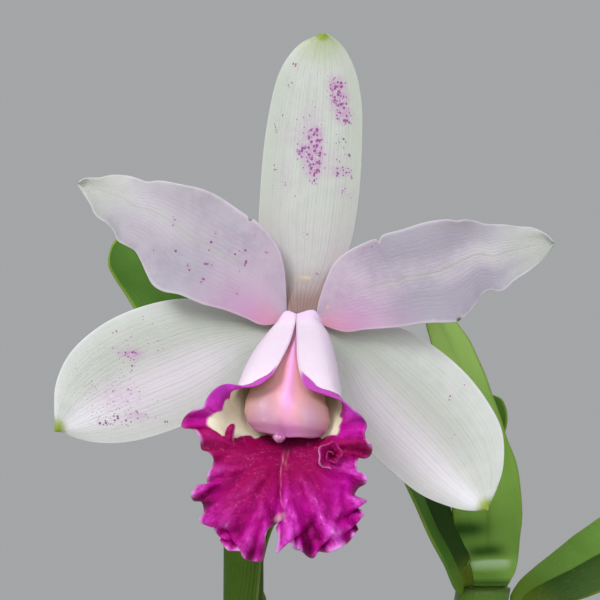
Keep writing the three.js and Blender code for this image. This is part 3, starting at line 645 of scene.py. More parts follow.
def leaf_look():
    """Leathery green, from a deep to a light tone by leaf, with a sunk midrib and a thin pale margin"""
    look = Look("leaf_skin", roughness=0.38, specular=0.32, subsurface=0.04)
    space = look.space()
    mottle = look.noise(space, 0.16, 5)
    grain = look.noise(look.stretched(look.place(), (1.6, 0.7, 1.6)), 1.2, 5)
    dark = look.blend(mottle, (30, 78, 14), (54, 106, 34))
    light = look.blend(mottle, (118, 166, 62), (146, 190, 90))
    tone = look.math("MULTIPLY_ADD", look.noise(space, 0.035, 3), 0.5, look.mask("tone"))
    lines = look.veins(25.0, 0.5, 0.6)
    front = look.tint(
        look.mix(look.fit(tone, 0.1, 1.4), dark, light),
        (lines, 0.05, 150, 190, 96),
        ("midrib", 0.2, 30, 70, 18),
        # painted shade: dark stripes across the lower blade over its bend, and a dark joint line at its foot
        ("shade_bands_and_joint_line", 0.75, 34, 74, 8),
        # painted shade on one half of a folded blade
        ("dark", 0.85, 20, 46, 8),
        # painted light on the upper part of a blade
        ("light", 0.6, 168, 200, 112),
        ("edge", 0.7, 138, 166, 58),
        ("base", 0.6, 116, 134, 34),
        # painted reflection: the pale glossy band where the blade bends over its joint
        ("collar", 0.75, 190, 216, 176),
        (look.fit(look.noise(space, 0.9, 3, 0.7), 0.66, 0.74), 0.4, 140, 160, 100),
    )
    back = look.tint(
        look.blend(mottle, (82, 122, 50), (108, 146, 70)),
        ("midrib", 0.5, 132, 158, 84),
        ("edge", 0.6, 146, 164, 70),
    )
    look.set("Roughness", look.fit(mottle, 0.2, 0.8, 0.3, 0.46))
    look.set("Specular Tint", rgb(214, 255, 176))
    relief = look.math("ADD", look.times(grain, 0.5), look.times(lines, 0.08))
    return look.finished(look.mix(look.mask("face"), back, front), relief, 0.2)


def cane_look():
    """Green pseudobulbs with furrows, dark joints and dry papery sheaths"""
    look = Look("cane_skin", roughness=0.42, specular=0.45)
    space = look.space()
    mottle = look.noise(space, 0.11, 5)
    fibre = look.noise(look.stretched(space, (2.4, 2.4, 0.09)), 1.0, 5)
    skin = look.tint(
        look.blend(mottle, (84, 116, 40), (128, 150, 66)),
        # painted shade: darker in the furrows
        ("furrow_shade", 0.3, 62, 88, 30),
        ("lit", 0.35, 160, 160, 70),
        ("fresh", 0.9, 82, 126, 26),
    )
    paper = look.blend(fibre, (168, 148, 112), (214, 200, 168))
    paper = look.tint(paper, (look.fit(mottle, 0.45, 0.7), 0.5, 128, 106, 74))
    ragged = look.times(look.math("SUBTRACT", fibre, 0.5), 0.5)
    torn = look.math("ADD", look.mask("sheath"), ragged)
    color = look.tint(look.mix(look.fit(torn, 0.42, 0.58), skin, paper), ("joint", 0.85, 58, 42, 30))
    look.set("Roughness", look.fit(torn, 0.4, 0.6, 0.38, 0.72))
    return look.finished(color, fibre, 0.35)


def root_look():
    """Silvery velamen, greener towards the growing tips, with brown scales on the rhizome"""
    look = Look("root_skin", roughness=0.75, specular=0.3)
    space = look.space()
    mottle = look.noise(space, 0.4, 5)
    velamen = look.tint(
        look.blend(mottle, (150, 146, 116), (206, 200, 174)),
        (look.fit(look.noise(space, 0.16, 3), 0.5, 0.66), 0.6, 112, 98, 68),
        ("green", 0.8, 118, 142, 62),
    )
    scale = look.blend(mottle, (120, 92, 58), (166, 140, 98))
    return look.finished(look.mix(look.mask("scale"), velamen, scale), look.noise(space, 1.6, 5), 0.4)


def bark_look():
    """Chips of bark in several browns, with lengthwise grain"""
    look = Look("bark_skin", roughness=0.88, specular=0.25)
    place = look.place()
    fibre = look.noise(look.stretched(place, (0.35, 2.2, 2.2)), 1.0, 6, 0.65)
    lump = look.noise(place, 0.4, 4)
    browns = ((0.0, 58, 38, 26), (0.35, 92, 60, 40), (0.7, 128, 88, 58), (1.0, 160, 122, 88))
    color = look.tint(
        look.ramp(look.mask("tone"), *browns),
        (look.fit(fibre, 0.35, 0.7), 0.6, 54, 36, 26),
        (look.fit(lump, 0.55, 0.75), 0.4, 160, 132, 104),
    )
    return look.finished(color, look.math("ADD", fibre, look.times(lump, 0.5)), 0.9)


def terracotta_look():
    """Fired clay with throwing lines, pale mineral bloom and a little green at the foot"""
    look = Look("terracotta_skin", roughness=0.82, specular=0.25)
    space = look.space()
    height = look.mask("height")
    cloud = look.noise(space, 0.018, 5)
    mottle = look.noise(space, 0.09, 5)
    grain = look.noise(space, 1.1, 5)
    foot = look.times(look.fit(height, 0.0, 0.38, 1.0, 0.0), look.fit(cloud, 0.35, 0.6))
    band = look.times(look.fit(height, 0.6, 0.78), look.fit(mottle, 0.46, 0.62))
    low = look.fit(height, 0.0, 0.16, 1.0, 0.0)
    moss = look.times(low, look.fit(look.noise(space, 0.05, 5), 0.5, 0.62))
    color = look.tint(
        look.blend(cloud, (176, 96, 62), (200, 122, 84)),
        (look.fit(mottle, 0.5, 0.75), 0.4, 150, 78, 50),
        (look.math("MAXIMUM", foot, look.times(band, 0.6)), 0.55, 226, 206, 188),
        (moss, 0.55, 98, 104, 62),
        (look.fit(look.noise(space, 2.2, 3), 0.66, 0.74), 0.5, 120, 66, 46),
        ("inside", 0.6, 112, 64, 44),
    )
    turning = look.noise(look.stretched(space, (0.01, 0.01, 0.9)), 1.0, 3)
    relief = look.math("ADD", look.times(turning, 0.7), look.times(grain, 0.5))
    return look.finished(color, relief, 0.5)


# Sepals and petals: two edges from base to tip as [right, up]. s runs from base to tip, and t from -1
# on the first edge to 1 on the second.
DORSAL_LEFT = [
    [-3, 0.8], [-4.2, 4.4], [-6.5, 11], [-9.3, 20], [-9.1, 30], [-7.7, 44.2], [-5, 56.2], [-2.2, 61.2],
    [0.6, 63.9], [3.2, 65.1], [4.6, 65.8],
]
DORSAL_RIGHT = [
    [3.2, 0.8], [4.8, 4.4], [8, 9.4], [11.4, 16], [13.5, 27], [14.4, 42.4], [14.2, 50.4], [12.7, 57.5],
    [9.8, 63], [7.2, 65.2], [6.2, 65.8],
]
LEFT_PETAL_UPPER = [
    [-3.1, 1.8], [-3.2, 4.6], [-3.7, 11.3], [-4.9, 15.9], [-6.8, 18.9], [-9.7, 22], [-11, 22.9],
    [-11.6, 22.6], [-12.2, 23.6], [-14.1, 24.9], [-18.7, 28], [-22.9, 29.9], [-27.4, 30.9],
    [-32.5, 31.8], [-35.6, 31.6], [-37.6, 32.3], [-40.2, 33], [-43.7, 33.1], [-46.6, 32.5],
    [-49.8, 32.4], [-51.2, 31.6],
]
LEFT_PETAL_LOWER = [
    [-4.2, -1], [-8.8, -1.5], [-12.6, 0.1], [-17.6, 2], [-22.9, 3.4], [-27.9, 5.5], [-31.8, 6.3],
    [-34.1, 7.8], [-35.6, 10.5], [-36.8, 13.2], [-38.3, 15.7], [-40.2, 16.8], [-42.2, 18],
    [-43.1, 20.1], [-45, 22.2], [-46.4, 23], [-47.5, 24.1], [-48.5, 26.2], [-49.8, 28.3],
    [-51.4, 30.6],
]
RIGHT_PETAL_UPPER = [
    [3.8, 1.2], [4.3, 3.6], [5.9, 8.3], [7.9, 12.6], [11.1, 15.4], [14.6, 17.2], [17.7, 18.2],
    [18.3, 17.5], [18.8, 18.9], [23.8, 20.5], [29.3, 22.2], [34.5, 22.8], [36.3, 22.5], [38.1, 22.8],
    [40.9, 22.4], [42.8, 21.8], [47.6, 21.6], [50.4, 21.2], [53.9, 20.9], [57, 19.4], [58.6, 17.8],
]
RIGHT_PETAL_LOWER = [
    [4.3, -1.2], [10.4, -3.1], [15, -2.6], [23, -2], [29, -1.1], [35.3, -0.9], [36.8, -0.6],
    [37.4, 0.1], [38.4, 0.5], [40.9, 3.5], [42, 5.3], [43.8, 6.5], [46.6, 6.2], [48, 7.1],
    [49.6, 8.7], [52.7, 10.7], [57.1, 14.4], [58.7, 16.9],
]
LEFT_SEPAL_UPPER = [
    [-4.2, 0.6], [-9, 0.8], [-17.6, 2.6], [-26.7, 4.4], [-37.5, 2.3], [-46.6, -2.1], [-53.4, -8.4],
    [-56.5, -15.2], [-56.9, -21.2], [-56.7, -24.6], [-56.9, -26],
]
LEFT_SEPAL_LOWER = [
    [-1.6, -4.8], [-10.4, -10.9], [-16.2, -17.8], [-22, -22.5], [-31.6, -26.6], [-40.1, -28.7],
    [-47.2, -28.8], [-52.4, -27.6], [-55.2, -26.4], [-56.6, -26.2],
]
RIGHT_SEPAL_UPPER = [
    [4.2, 0.4], [13.9, -1.4], [23, -2.2], [29.2, -5.4], [37.8, -12.3], [43.8, -20], [46.8, -26.4],
    [47, -34.6], [45.5, -39.6], [44, -43], [43.6, -44.2],
]
RIGHT_SEPAL_LOWER = [
    [1.6, -4.8], [7.9, -13.2], [10.5, -23], [16.6, -31.1], [21.1, -35.4], [28.4, -41], [36.1, -44],
    [40.2, -44.6], [42.6, -44.4], [43.4, -44.5],
]


def dorsal_depth(s, t):
    return -3 + 2 * smooth(0.12, 0, s) - 7 * s + 4.5 * s * s - 0.9 * t * t * smooth(0, 0.3, s)


def lateral_depth(s, t):
    return -3 - 2.4 * np.sin(np.pi * s) + 5 * s**3 - 0.8 * t * t * smooth(0, 0.3, s)


def petal_depth(seed):
    """The depth of a petal, with a finer wave of its margin than the solid has"""

    def depth(s, t):
        rise = 3.4 * np.sin(np.pi * np.minimum(0.85 * s, 1)) * smooth(0, 0.35, s)
        wave = 1.2 * np.sin(15 * s + 1.5 * t) * np.abs(t) ** 3 * smooth(0.2, 0.6, s)
        side = np.where(t < 0, 0.0, 3.7)
        frill = 0.45 * ripple(9 * s + side, seed) * np.abs(t) ** 6 * smooth(0.25, 0.6, s)
        return -0.8 + rise + wave - 0.8 * (1 - t * t) * smooth(0.1, 0.4, s) + frill

    return depth


def clusters(right, up, centres):
    """The share of spots at a place, from [right, up, half-width, half-height, amount] of each cluster"""
    total = np.zeros_like(right)
    for x, y, wide, high, amount in centres:
        total += amount * np.exp(-((((right - x) / wide) ** 2 + ((up - y) / high) ** 2) ** 1.6))
    return np.minimum(total, 1)


def broad(centres, least=3.0):
    """The clusters that are broad enough to tint the skin between their spots"""
    return [centre for centre in centres if centre[2] + centre[3] > least]


def marks(right, up, places):
    """1 at each [right, up, radius] and 0 beyond its radius"""
    total = np.zeros_like(right)
    for x, y, radius in places:
        total = np.maximum(total, smooth(radius, 0.4 * radius, np.hypot(right - x, up - y)))
    return total


# Rows of a blade's mesh crowd towards its tip, and columns towards its edges
TEPAL_TIP_CROWDING = 1.25
TEPAL_EDGE_CROWDING = 0.12
SEPAL_ROWS = 110
PETAL_ROWS = 120


def tepal(name, edges, depth, masks_of, columns, rows, look, slot):
    s = 1 - (1 - shares(rows)) ** TEPAL_TIP_CROWDING
    turn = np.pi * (TEPAL_EDGE_CROWDING + (1 - 2 * TEPAL_EDGE_CROWDING) * shares(columns))
    share = 0.5 - 0.5 * np.cos(turn) / math.cos(TEPAL_EDGE_CROWDING * math.pi)
    start, end = (by_length(edge, s) for edge in edges)
    flat = start[:, None] + (end - start)[:, None] * share[None, :, None]
    right, up = flat[..., 0], flat[..., 1]
    s, t = crossed(s, 2 * share - 1)
    masks = {"across": t, "place": np.stack([right, up, np.zeros_like(up)], axis=-1)}
    masks.update(masks_of(s, t, right, up))
    thickness = TEPAL_THICKNESS * (1 - 0.5 * np.abs(t) ** 4) * (1 - 0.35 * s)
    shape = sheet(facing(right, up, depth(s, t)), thickness, TOWARDS_EYE, masks)
    return piece(name + "_blade", shape, look, [name])


# Clusters of spots, each as [right, up, half-width, half-height, amount]
DORSAL_SPOTS = [
    [8.4, 54.2, 2.1, 2, 1], [9.2, 50.6, 2.3, 3, 1], [10.2, 46.8, 2.2, 1.8, 0.9], [3.6, 42.2, 2, 2, 1],
    [1, 38.6, 1.9, 2.2, 1], [3.8, 38.6, 1.6, 2.8, 1], [2.8, 34.6, 2.2, 2.4, 1], [3.2, 31.6, 1.1, 1.6, 0.9],
    [-1.2, 55.6, 1.2, 0.7, 0.9], [-2.6, 54, 1.2, 0.7, 0.9], [-1.2, 58.8, 0.8, 0.8, 0.9],
    [9.4, 41.4, 1.6, 1.2, 0.9], [10.4, 39.6, 1.2, 1, 0.8], [11.4, 37.6, 1.4, 0.7, 0.8],
    [10.8, 45.2, 0.9, 0.9, 1], [-5.6, 34.8, 0.9, 0.9, 1], [-5.4, 29.6, 0.8, 0.8, 0.9],
    [-1.7, 28.2, 0.8, 0.8, 0.9], [-4.6, 47, 0.8, 0.8, 0.8], [-5.4, 44.6, 0.6, 1.6, 0.8],
    [-6, 39.8, 0.7, 0.7, 0.9], [9.6, 33.8, 2.6, 1.2, 0.7], [12, 32.2, 0.8, 0.8, 0.9],
    [10.2, 29, 3, 1.4, 0.3], [0, 42, 4.5, 3, 0.25], [7, 36, 3, 4, 0.3], [2.6, 46, 3, 4, 0.3],
    [-3.6, 33, 2, 4, 0.2], [4, 10.4, 0.7, 0.7, 0.8], [10, 19.2, 0.7, 0.7, 0.8], [1.4, 19.2, 0.7, 0.7, 0.8],
]
DORSAL_SPECKLE = [[3, 40, 9, 14, 0.1]]
DORSAL_TIP = (5.2, 66)
LEFT_SEPAL_SPOTS = [
    [-45.6, -24.4, 2, 1, 1], [-42.6, -23, 1.6, 1.2, 1], [-40, -24.2, 1, 1, 0.9], [-38, -22.6, 2.6, 1, 0.6],
    [-39, -8.2, 3, 1.2, 0.9], [-40.4, -6, 0.8, 1.4, 0.8], [-38.8, -11.8, 0.8, 1.6, 0.8],
    [-36.4, -0.4, 0.7, 0.7, 0.9], [-34.2, -1, 0.7, 0.7, 0.9], [-42.6, -3, 0.7, 0.7, 0.9],
    [-38.6, -3.8, 0.9, 0.7, 0.8], [-35, -5, 0.7, 0.7, 0.8], [-33.2, -5.4, 0.7, 0.7, 0.8],
    [-32.2, -7, 0.7, 0.7, 0.8], [-51.8, -11.6, 0.8, 0.8, 0.9], [-31, -24, 0.7, 0.7, 0.9],
    [-33.4, -23.6, 0.7, 0.7, 0.9], [-42, -18, 6, 3.4, 0.35], [-17.4, -4.2, 0.6, 0.6, 0.8],
]
LEFT_SEPAL_SPECKLE = [
    [-46, -14, 8, 8, 0.5], [-44, -22, 7, 3, 0.5], [-38, -8, 6, 4, 0.35], [-36, -20, 5, 4, 0.3],
]
RIGHT_SEPAL_SPOTS = [
    [34.7, -18.5, 0.8, 0.8, 0.9], [35.4, -27.6, 0.8, 0.8, 0.8], [33, -40.6, 0.7, 0.7, 0.7],
    [38, -16, 0.7, 0.7, 0.7],
]
LEFT_PETAL_SPOTS = [
    [-38, 26.4, 0.9, 0.9, 1], [-44, 23.6, 1.4, 0.7, 0.7], [-33.3, 16.4, 0.9, 0.9, 1],
    [-24, 20.3, 0.9, 1.1, 1], [-16.8, 19, 1, 1, 1], [-11.6, 22, 0.8, 0.8, 0.9], [-10.2, 19.2, 0.8, 0.8, 1],
    [-7.8, 15.8, 0.9, 0.9, 1], [-26, 12, 0.8, 1.4, 1], [-21.2, 12.2, 1.6, 0.8, 0.9],
    [-22.4, 9, 1.2, 1, 1], [-21.4, 8, 1, 0.8, 1], [-14.8, 5.6, 0.8, 0.8, 0.9], [-26.6, 15.8, 0.8, 0.8, 0.8],
    [-29, 15.6, 0.8, 0.8, 0.8], [-21, 17.6, 1, 0.8, 0.8], [-19, 19, 1, 1, 0.6], [-12.4, 13.6, 3, 3, 0.3],
    [-17, 13, 6, 5, 0.2], [-29.4, 22.4, 1.2, 1, 0.6],
]
RIGHT_PETAL_SPOTS = [[10.6, 9.9, 0.8, 0.8, 0.9], [15.4, 16.6, 3, 0.7, 0.4], [41, 8.8, 0.7, 0.5, 0.7]]


def dorsal_masks(s, t, right, up):
    from_tip = np.hypot(right - DORSAL_TIP[0], up - DORSAL_TIP[1])
    return {
        "along": s,
        "spotting": clusters(right, up, DORSAL_SPOTS),
        "haze": clusters(right, up, broad(DORSAL_SPOTS)),
        "speckle": clusters(right, up, DORSAL_SPECKLE),
        "stain": smooth(13, 4.5, up) * (0.75 + 0.25 * smooth(7, 3, up)),
        "fleck": bell(up - 9.2 - 0.1 * right, 0, 0.28) * smooth(2.2, 1.6, np.abs(right - 0.6)),
        "tip": 0.8 * smooth(2.4, 0.6, from_tip) + 0.45 * smooth(10, 1.4, from_tip),
        "shade": smooth(0.35, 0.9, np.abs(t)) * 0.55 * smooth(0.1, 0.4, s) * smooth(1, 0.8, s) + 0.5,
        "lit": 0.15 * smooth(0.75, 0.9, s) + 0.5 * smooth(0.965, 1, np.abs(t)) * smooth(0.1, 0.3, s),
        "lilac": 0.9 * smooth(0.5, 0.12, s) * (0.55 + 0.45 * smooth(0.2, 0.9, np.abs(t))),
    }


def lateral_masks(spot_centres, speckles, tip_place, lit_t, shade_t):
    """Masks of a lateral sepal, lit along one line from its base to its tip and shaded along another"""

    def masks_of(s, t, right, up):
        return {
            "along": s,
            "spotting": clusters(right, up, spot_centres),
            "haze": clusters(right, up, broad(spot_centres)),
            "speckle": clusters(right, up, speckles),
            "stain": smooth(0.1, 0.0, s) * 0.7 + 0.25 * smooth(0.3, 0.0, s) * smooth(0.4, -0.6, t),
            "fleck": 0.0,
            "tip": smooth(3.4, 0.6, np.hypot(right - tip_place[0], up - tip_place[1])),
            "shade": 0.8 * smooth(0.4, 0.05, s) + 0.9 * bell(t, shade_t, 0.4) * smooth(1, 0.6, s),
            "lit": bell(t, lit_t, 0.36) * smooth(0.12, 0.4, s) + 0.4 * smooth(0.94, 1, np.abs(t)),
            "lilac": 0.4 * smooth(0.1, 0.45, s) * smooth(0.95, 0.5, s) * bell(t, lit_t, 0.6),
        }

    return masks_of


def petal_masks(spot_centres, rib_t, flecks, bruises, dusk):
    """Masks of a petal with its midrib at rib_t. dusk is the shade along its edges"""

    def masks_of(s, t, right, up):
        rib = bell(t, rib_t, 0.022) + 0.35 * bell(t, rib_t, 0.09)
        streak = 0.5 + 0.5 * ripple(2.2 * s + 0.8 * t, 23)
        shadow = smooth(0.12, 0.5, s) * smooth(0.95, 0.7, s) * (0.2 + 0.8 * streak)
        shadow = shadow * (0.4 + 0.6 * smooth(-0.2, 0.7, t))
        return {
            "spotting": clusters(right, up, spot_centres),
            "blush": smooth(0.46, 0.04, s) * (0.3 + 0.7 * smooth(-0.6, 0.9, t)) * (0.8 + 0.2 * streak),
            "warm": smooth(0.2, 0.02, s) * smooth(-0.3, 0.6, t),
            "shade": shadow + dusk * smooth(0.1, 0.7, np.abs(t)) * smooth(0.2, 0.4, s),
            "lit": smooth(0.45, 0.8, s) * (1 - streak) * smooth(0.5, -0.4, t),
            "midrib": rib * smooth(0.16, 0.4, s) * (1 - 0.5 * smooth(0.85, 1, s)),
            "tip": smooth(0.68, 0.96, s),
            "edge": smooth(0.93, 1.0, np.abs(t)),
            "fleck": marks(right, up, flecks),
            "bruise": marks(right, up, bruises),
        }

    return masks_of


# The lip's stations from its base to the end of the midlobe. The two halves of each start at its floor
# and end at the margins, as [right, up, depth].
TUBE_RISE = {"up": 0.62, "depth": 0.78}


def tube_station(floor, radius, height, wrap):
    """A station of the tube, whose halves curve round the column over wrap degrees"""
    right, up, depth = floor
    angle = np.radians(wrap * shares(4))
    rise = height * (1 - np.cos(angle)) / 2
    tops = [up + TUBE_RISE["up"] * rise, depth + TUBE_RISE["depth"] * rise]
    return [np.stack([right + side * radius * np.sin(angle), *tops], axis=1).tolist() for side in (-1, 1)]


def open_station(floor, left, right):
    return [floor, *left], [floor, *right]


LIP_STATIONS = [
    tube_station([0, -2.6, 0.9], 4.4, 7, 166),
    tube_station([-0.3, -6.2, 2.4], 6.9, 9, 170),
    tube_station([-1.7, -13.5, 8.5], 9.9, 13, 170),
    open_station(
        [-2.7, -22, 16.5],
        [[-10.4, -20.8, 18], [-14.6, -17.7, 21.9], [-13.3, -14.4, 26.3], [-7.2, -13, 28.4]],
        [[5, -20.8, 18], [9.2, -17.9, 21.9], [7.4, -15.2, 26.3], [0.8, -14.2, 28.2]],
    ),
    open_station(
        [-2.8, -26, 20],
        [[-11, -25, 21], [-16, -21, 24], [-17, -17.6, 27.4], [-17.4, -15.8, 29.2]],
        [[4.2, -25.2, 21], [9.4, -22.6, 24], [10.6, -20.6, 27.4], [10.6, -19.4, 29.4]],
    ),
    open_station(
        [-3.4, -30, 25],
        [[-10, -29.5, 25.5], [-16, -27.5, 27], [-21, -24.2, 28.6], [-26.6, -23.8, 27.6]],
        [[3, -29.6, 25.5], [8, -28.3, 27], [12, -26.9, 29], [15.4, -26.2, 29.6]],
    ),
    open_station(
        [-3.6, -32.5, 27.5],
        [[-9, -32, 28], [-14, -31.6, 28.5], [-18, -31, 28], [-21.6, -31, 27]],
        [[2, -32.2, 28], [7, -32, 28.5], [11, -32, 28.5], [15, -32.8, 28]],
    ),
    open_station(
        [-3.7, -35.5, 29.6],
        [[-9, -36, 31], [-14, -36.5, 31], [-18, -37, 30], [-21.6, -37.4, 29]],
        [[2, -36, 31], [7, -36.6, 31.2], [11.5, -36.8, 30.5], [15.4, -37, 29.5]],
    ),
    open_station(
        [-4, -39.5, 31.6],
        [[-10, -41, 34], [-16, -42, 33.5], [-21, -42, 32], [-25, -41, 31]],
        [[1.5, -41, 34], [6.5, -42, 34], [11.5, -42.4, 32.5], [15.6, -42.2, 31]],
    ),
    open_station(
        [-3.2, -43, 32.8],
        [[-8.5, -46, 35.5], [-13.5, -48, 35], [-18.5, -48.4, 33.5], [-23.4, -46.6, 32]],
        [[-0.4, -47.2, 35.5], [5, -49, 35], [10, -49.2, 33.5], [14.8, -47.4, 31.5]],
    ),
    open_station(
        [-2.8, -46, 33.5],
        [[-7.9, -51, 36], [-9.6, -56, 35], [-15.4, -54.4, 33], [-21, -50.6, 31.5]],
        [[-4.6, -52.4, 36], [0, -54, 35.5], [5.8, -55, 33.5], [12.4, -51.2, 31.5]],
    ),
]
LIP_ROWS = 200
LIP_COLUMNS = 160
LIP_EDGE_CROWDING = 0.42
LIP_FACE = (0, -0.6, 0.8)
ROOF_END = 0.3
MIDLOBE_START = 0.6
PLEAT_CENTRE = np.array([-3.5, -30.0])

# The crease of the midlobe as [up, right], and how fast the pull of the margin fades towards the middle
CREASE_LINE = [[-45.8, -2.7], [-43.6, -4.0], [-40.5, -4.6], [-35.2, -4.4], [-29, -3.3]]
MARGIN_FADE = [[0, 8], [0.04, 2.4], [ROOF_END, 3], [0.4, 5], [0.56, 5], [0.66, 3]]

# The frilled outline as [right, up], on each side: the tube's roof, the side lobe's flare, the side of
# the midlobe, and its end, which runs in to the notch between its two halves
LEFT_MARGIN = [
    [[-0.95, 0.9], [-1.1, -0.8], [-2.4, -5.5], [-4.3, -9.4], [-6.3, -13]],
    [
        [-6.3, -13], [-7.5, -14], [-8.9, -15.1], [-10.6, -15.7], [-12.4, -15.9], [-14.8, -15.5],
        [-17.4, -15.4], [-19.5, -16.3], [-21.3, -18.3], [-22.5, -20.8], [-25, -21.5], [-26.9, -23.3],
        [-27.3, -25.2], [-24.8, -25.6], [-23.2, -27.6], [-22.7, -30.4], [-21.2, -31],
    ],
    [
        [-21.2, -31], [-20, -32.4], [-20.1, -34], [-21.5, -36.6], [-21.5, -38.9], [-23.6, -38.8],
        [-25.2, -41], [-24.6, -42.2], [-22.9, -42.4], [-22.2, -44.9], [-23.4, -46.8], [-22.2, -47.7],
        [-20.1, -47.3], [-19.7, -49.3], [-18.1, -49.6], [-18.5, -51.6],
    ],
    [
        [-18.5, -51.6], [-16.7, -53.7], [-13.7, -54], [-13, -55.6], [-10.2, -56.3], [-8.7, -56],
        [-8.1, -52], [-7.7, -49.2], [-5.6, -47.6], [-2.7, -46],
    ],
]
RIGHT_MARGIN = [
    [[-0.7, 0.9], [-0.75, -0.8], [-0.7, -5.5], [-0.5, -9.8], [0.5, -14.4]],
    [
        [0.5, -14.4], [1.6, -16], [4.6, -17.3], [9.3, -18.9], [12, -21], [14.1, -22.6], [15.4, -24.8],
        [14.9, -26.8], [15.4, -28.4], [16.5, -29.3], [16.5, -31.2], [15.4, -32.4], [13.6, -32.2],
    ],
    [
        [13.6, -32.2], [13, -33.6], [13.4, -35.6], [15, -36.3], [15.4, -38], [13.6, -39.2],
        [12.6, -41], [15.5, -42.4], [12.8, -43.4], [14.8, -45.3], [12.7, -46.7], [13.5, -48.9],
    ],
    [
        [13.5, -48.9], [10.7, -52.3], [6.6, -54.2], [4.2, -54.1], [2.9, -55.6], [0, -53.8],
        [-1.4, -53.3], [-2.5, -51.8], [-5.4, -54.3], [-4.9, -50.6], [-5.3, -48.4], [-2.7, -46],
    ],
]


def from_throat(right, up):
    """The turn and the radius of places in the front view about the centre of the pleats"""
    x, y = right - PLEAT_CENTRE[0], up - PLEAT_CENTRE[1]
    return np.arctan2(x, -y), np.hypot(x, y)


def past_start(s):
    """The share of the midlobe's length at s, below 0 before it starts"""
    return (s - MIDLOBE_START) / (1 - MIDLOBE_START)


def shift_to(path, outline):
    """How far the points of path move to lie at the same shares of outline's length"""
    run = run_length(path)
    return by_length(outline, run / run[-1]) - path


def stand_out(line, window=25):
    """How far the points of a frilled outline stand out from its own smoothed run"""
    reach = np.hypot(*(line - PLEAT_CENTRE).T)
    weights = np.hanning(window) / np.hanning(window).sum()
    return reach - np.convolve(np.pad(reach, window // 2, mode="edge"), weights, "valid")


def frilled_margins(grid, s_line, t_line):
    """Moves the margins in the front view to their frilled outline, and less and less further in.
    Gives the frill's height above the plain surface"""
    rows, middle = len(s_line), len(t_line) // 2
    roof, start = (int(round(share * (rows - 1))) for share in (ROOF_END, MIDLOBE_START))
    power = along(MARGIN_FADE, s_line)[:, None]
    by_end = np.clip(past_start(s_line), 0, 1)[:, None] ** 3
    pulls = np.zeros_like(grid[..., :2])
    frill = np.zeros(grid.shape[:2])
    left, right = (LEFT_MARGIN, 0, slice(0, middle + 1)), (RIGHT_MARGIN, -1, slice(middle, None))
    for outlines, edge, half in (left, right):
        side = np.zeros((rows, 2))
        for low, high, outline in zip((0, roof, start), (roof, start, rows - 1), outlines):
            stretch = slice(low, high + 1)
            side[stretch] = shift_to(grid[stretch, edge, :2], outline)
        side_frill = np.zeros(rows)
        side_frill[start:] = stand_out(grid[start:, edge, :2] + side[start:])

        way = 1 if edge == 0 else -1
        end_path = grid[-1, half, :2][::way]
        end = shift_to(end_path, outlines[3])
        end_frill = stand_out(end_path + end)[::way]
        end = end[::way]

        by_side = np.abs(t_line[half])[None, :] ** power
        both = by_side * by_end
        frill[:, half] = by_side * side_frill[:, None] + by_end * end_frill[None] - both * end_frill[edge]
        pulls[:, half] = by_side[..., None] * side[:, None] + by_end[..., None] * end[None]
        pulls[:, half] -= both[..., None] * end[edge]
    grid[..., :2] += pulls
    return frill


def crease_place(up):
    """Where the crease between the midlobe's halves lies, at each height"""
    return np.interp(up, *np.transpose(CREASE_LINE))


def ruffle(s, t, right, up, frill):
    """The height of the folds towards the eye: pleats that spread from the throat across the midlobe,
    its frilled margin, the waves of the side lobes, and a shoulder where the midlobe starts. Gives
    also its shading, from 0 in a valley to 1 on a crest, which the lip's colour paints on as painted
    shade and painted highlights"""
    edge = np.abs(t)
    reach = np.clip(np.maximum(edge, past_start(s)), 0, 1)
    turn, radius = from_throat(right, up)
    on_midlobe = smooth(MIDLOBE_START - 0.04, 0.7, s)
    pleats = 1.8 * np.sin(15 * turn + 0.8 + 0.7 * ripple(radius / 8, 44)) * reach**2.2
    folds = np.sin(9.5 * turn + 2.2 + 0.6 * ripple(radius / 9, 12)) * reach**1.3
    small = 0.4 * np.sin(27 * turn + 1.5 * ripple(radius / 6, 31)) * reach**1.8
    rim = np.sin(43 * turn + 2 * ripple(3 * turn, 8)) + 0.5 * ripple(13 * turn + radius / 12, 5)
    rim = rim * reach**6
    crease = -0.7 * bell(right, crease_place(up), 0.7) * smooth(0.58, 0.66, s)
    flare = smooth(0.33, 0.42, s) * (1 - smooth(0.56, 0.64, s))
    wave = (1.2 * np.sin(62 * s + t) + 0.8 * np.sin(131 * s + 2 * t)) * edge**3.5
    shoulder = 0.8 * bell(up, -29.2, 1.1) * smooth(0.35, 0.6, edge) * smooth(0.4, 0.5, s)
    height = (pleats + folds + small + rim + 1.5 * frill + crease) * on_midlobe + wave * flare + shoulder
    shading = pleats + folds + 1.6 * small + 1.4 * rim + 1.5 * frill
    return height, np.clip(0.5 + 0.26 * shading * on_midlobe + 0.2 * wave * flare, 0, 1)


def lip_grid(s_line, t_line):
    stations = np.array([left[:0:-1] + right for left, right in LIP_STATIONS])
    lines = curve_points(stations.swapaxes(0, 1), (1 + t_line) / 2).swapaxes(0, 1)
    grid = curve_points(lines, s_line)
    back = smooth(0.09, 0, s_line)[:, None]
    crown = bell(np.abs(t_line), 0.82, 0.13) * np.where(t_line > 0, 0.8, 0.6)
    grid[..., 0] += 0.25 * bell(t_line, 0.68, 0.2) * back
    grid[..., 1] += crown * back
    return grid


# Widths of the magenta band along the margin, by share of the lip's length
LEFT_BAND = [[0, 0.15], [0.28, 0.5], [0.33, 2.6], [0.4, 4], [0.45, 4.8], [0.5, 6.4], [0.56, 7.4], [0.6, 9]]
RIGHT_BAND = [[0, 0.15], [0.27, 0.6], [0.31, 2.6], [0.36, 5], [0.42, 6.6], [0.5, 7.6], [0.6, 9]]
FAN_SPREAD = 7.0
PALE_PATCH = (-4.6, -46.2)


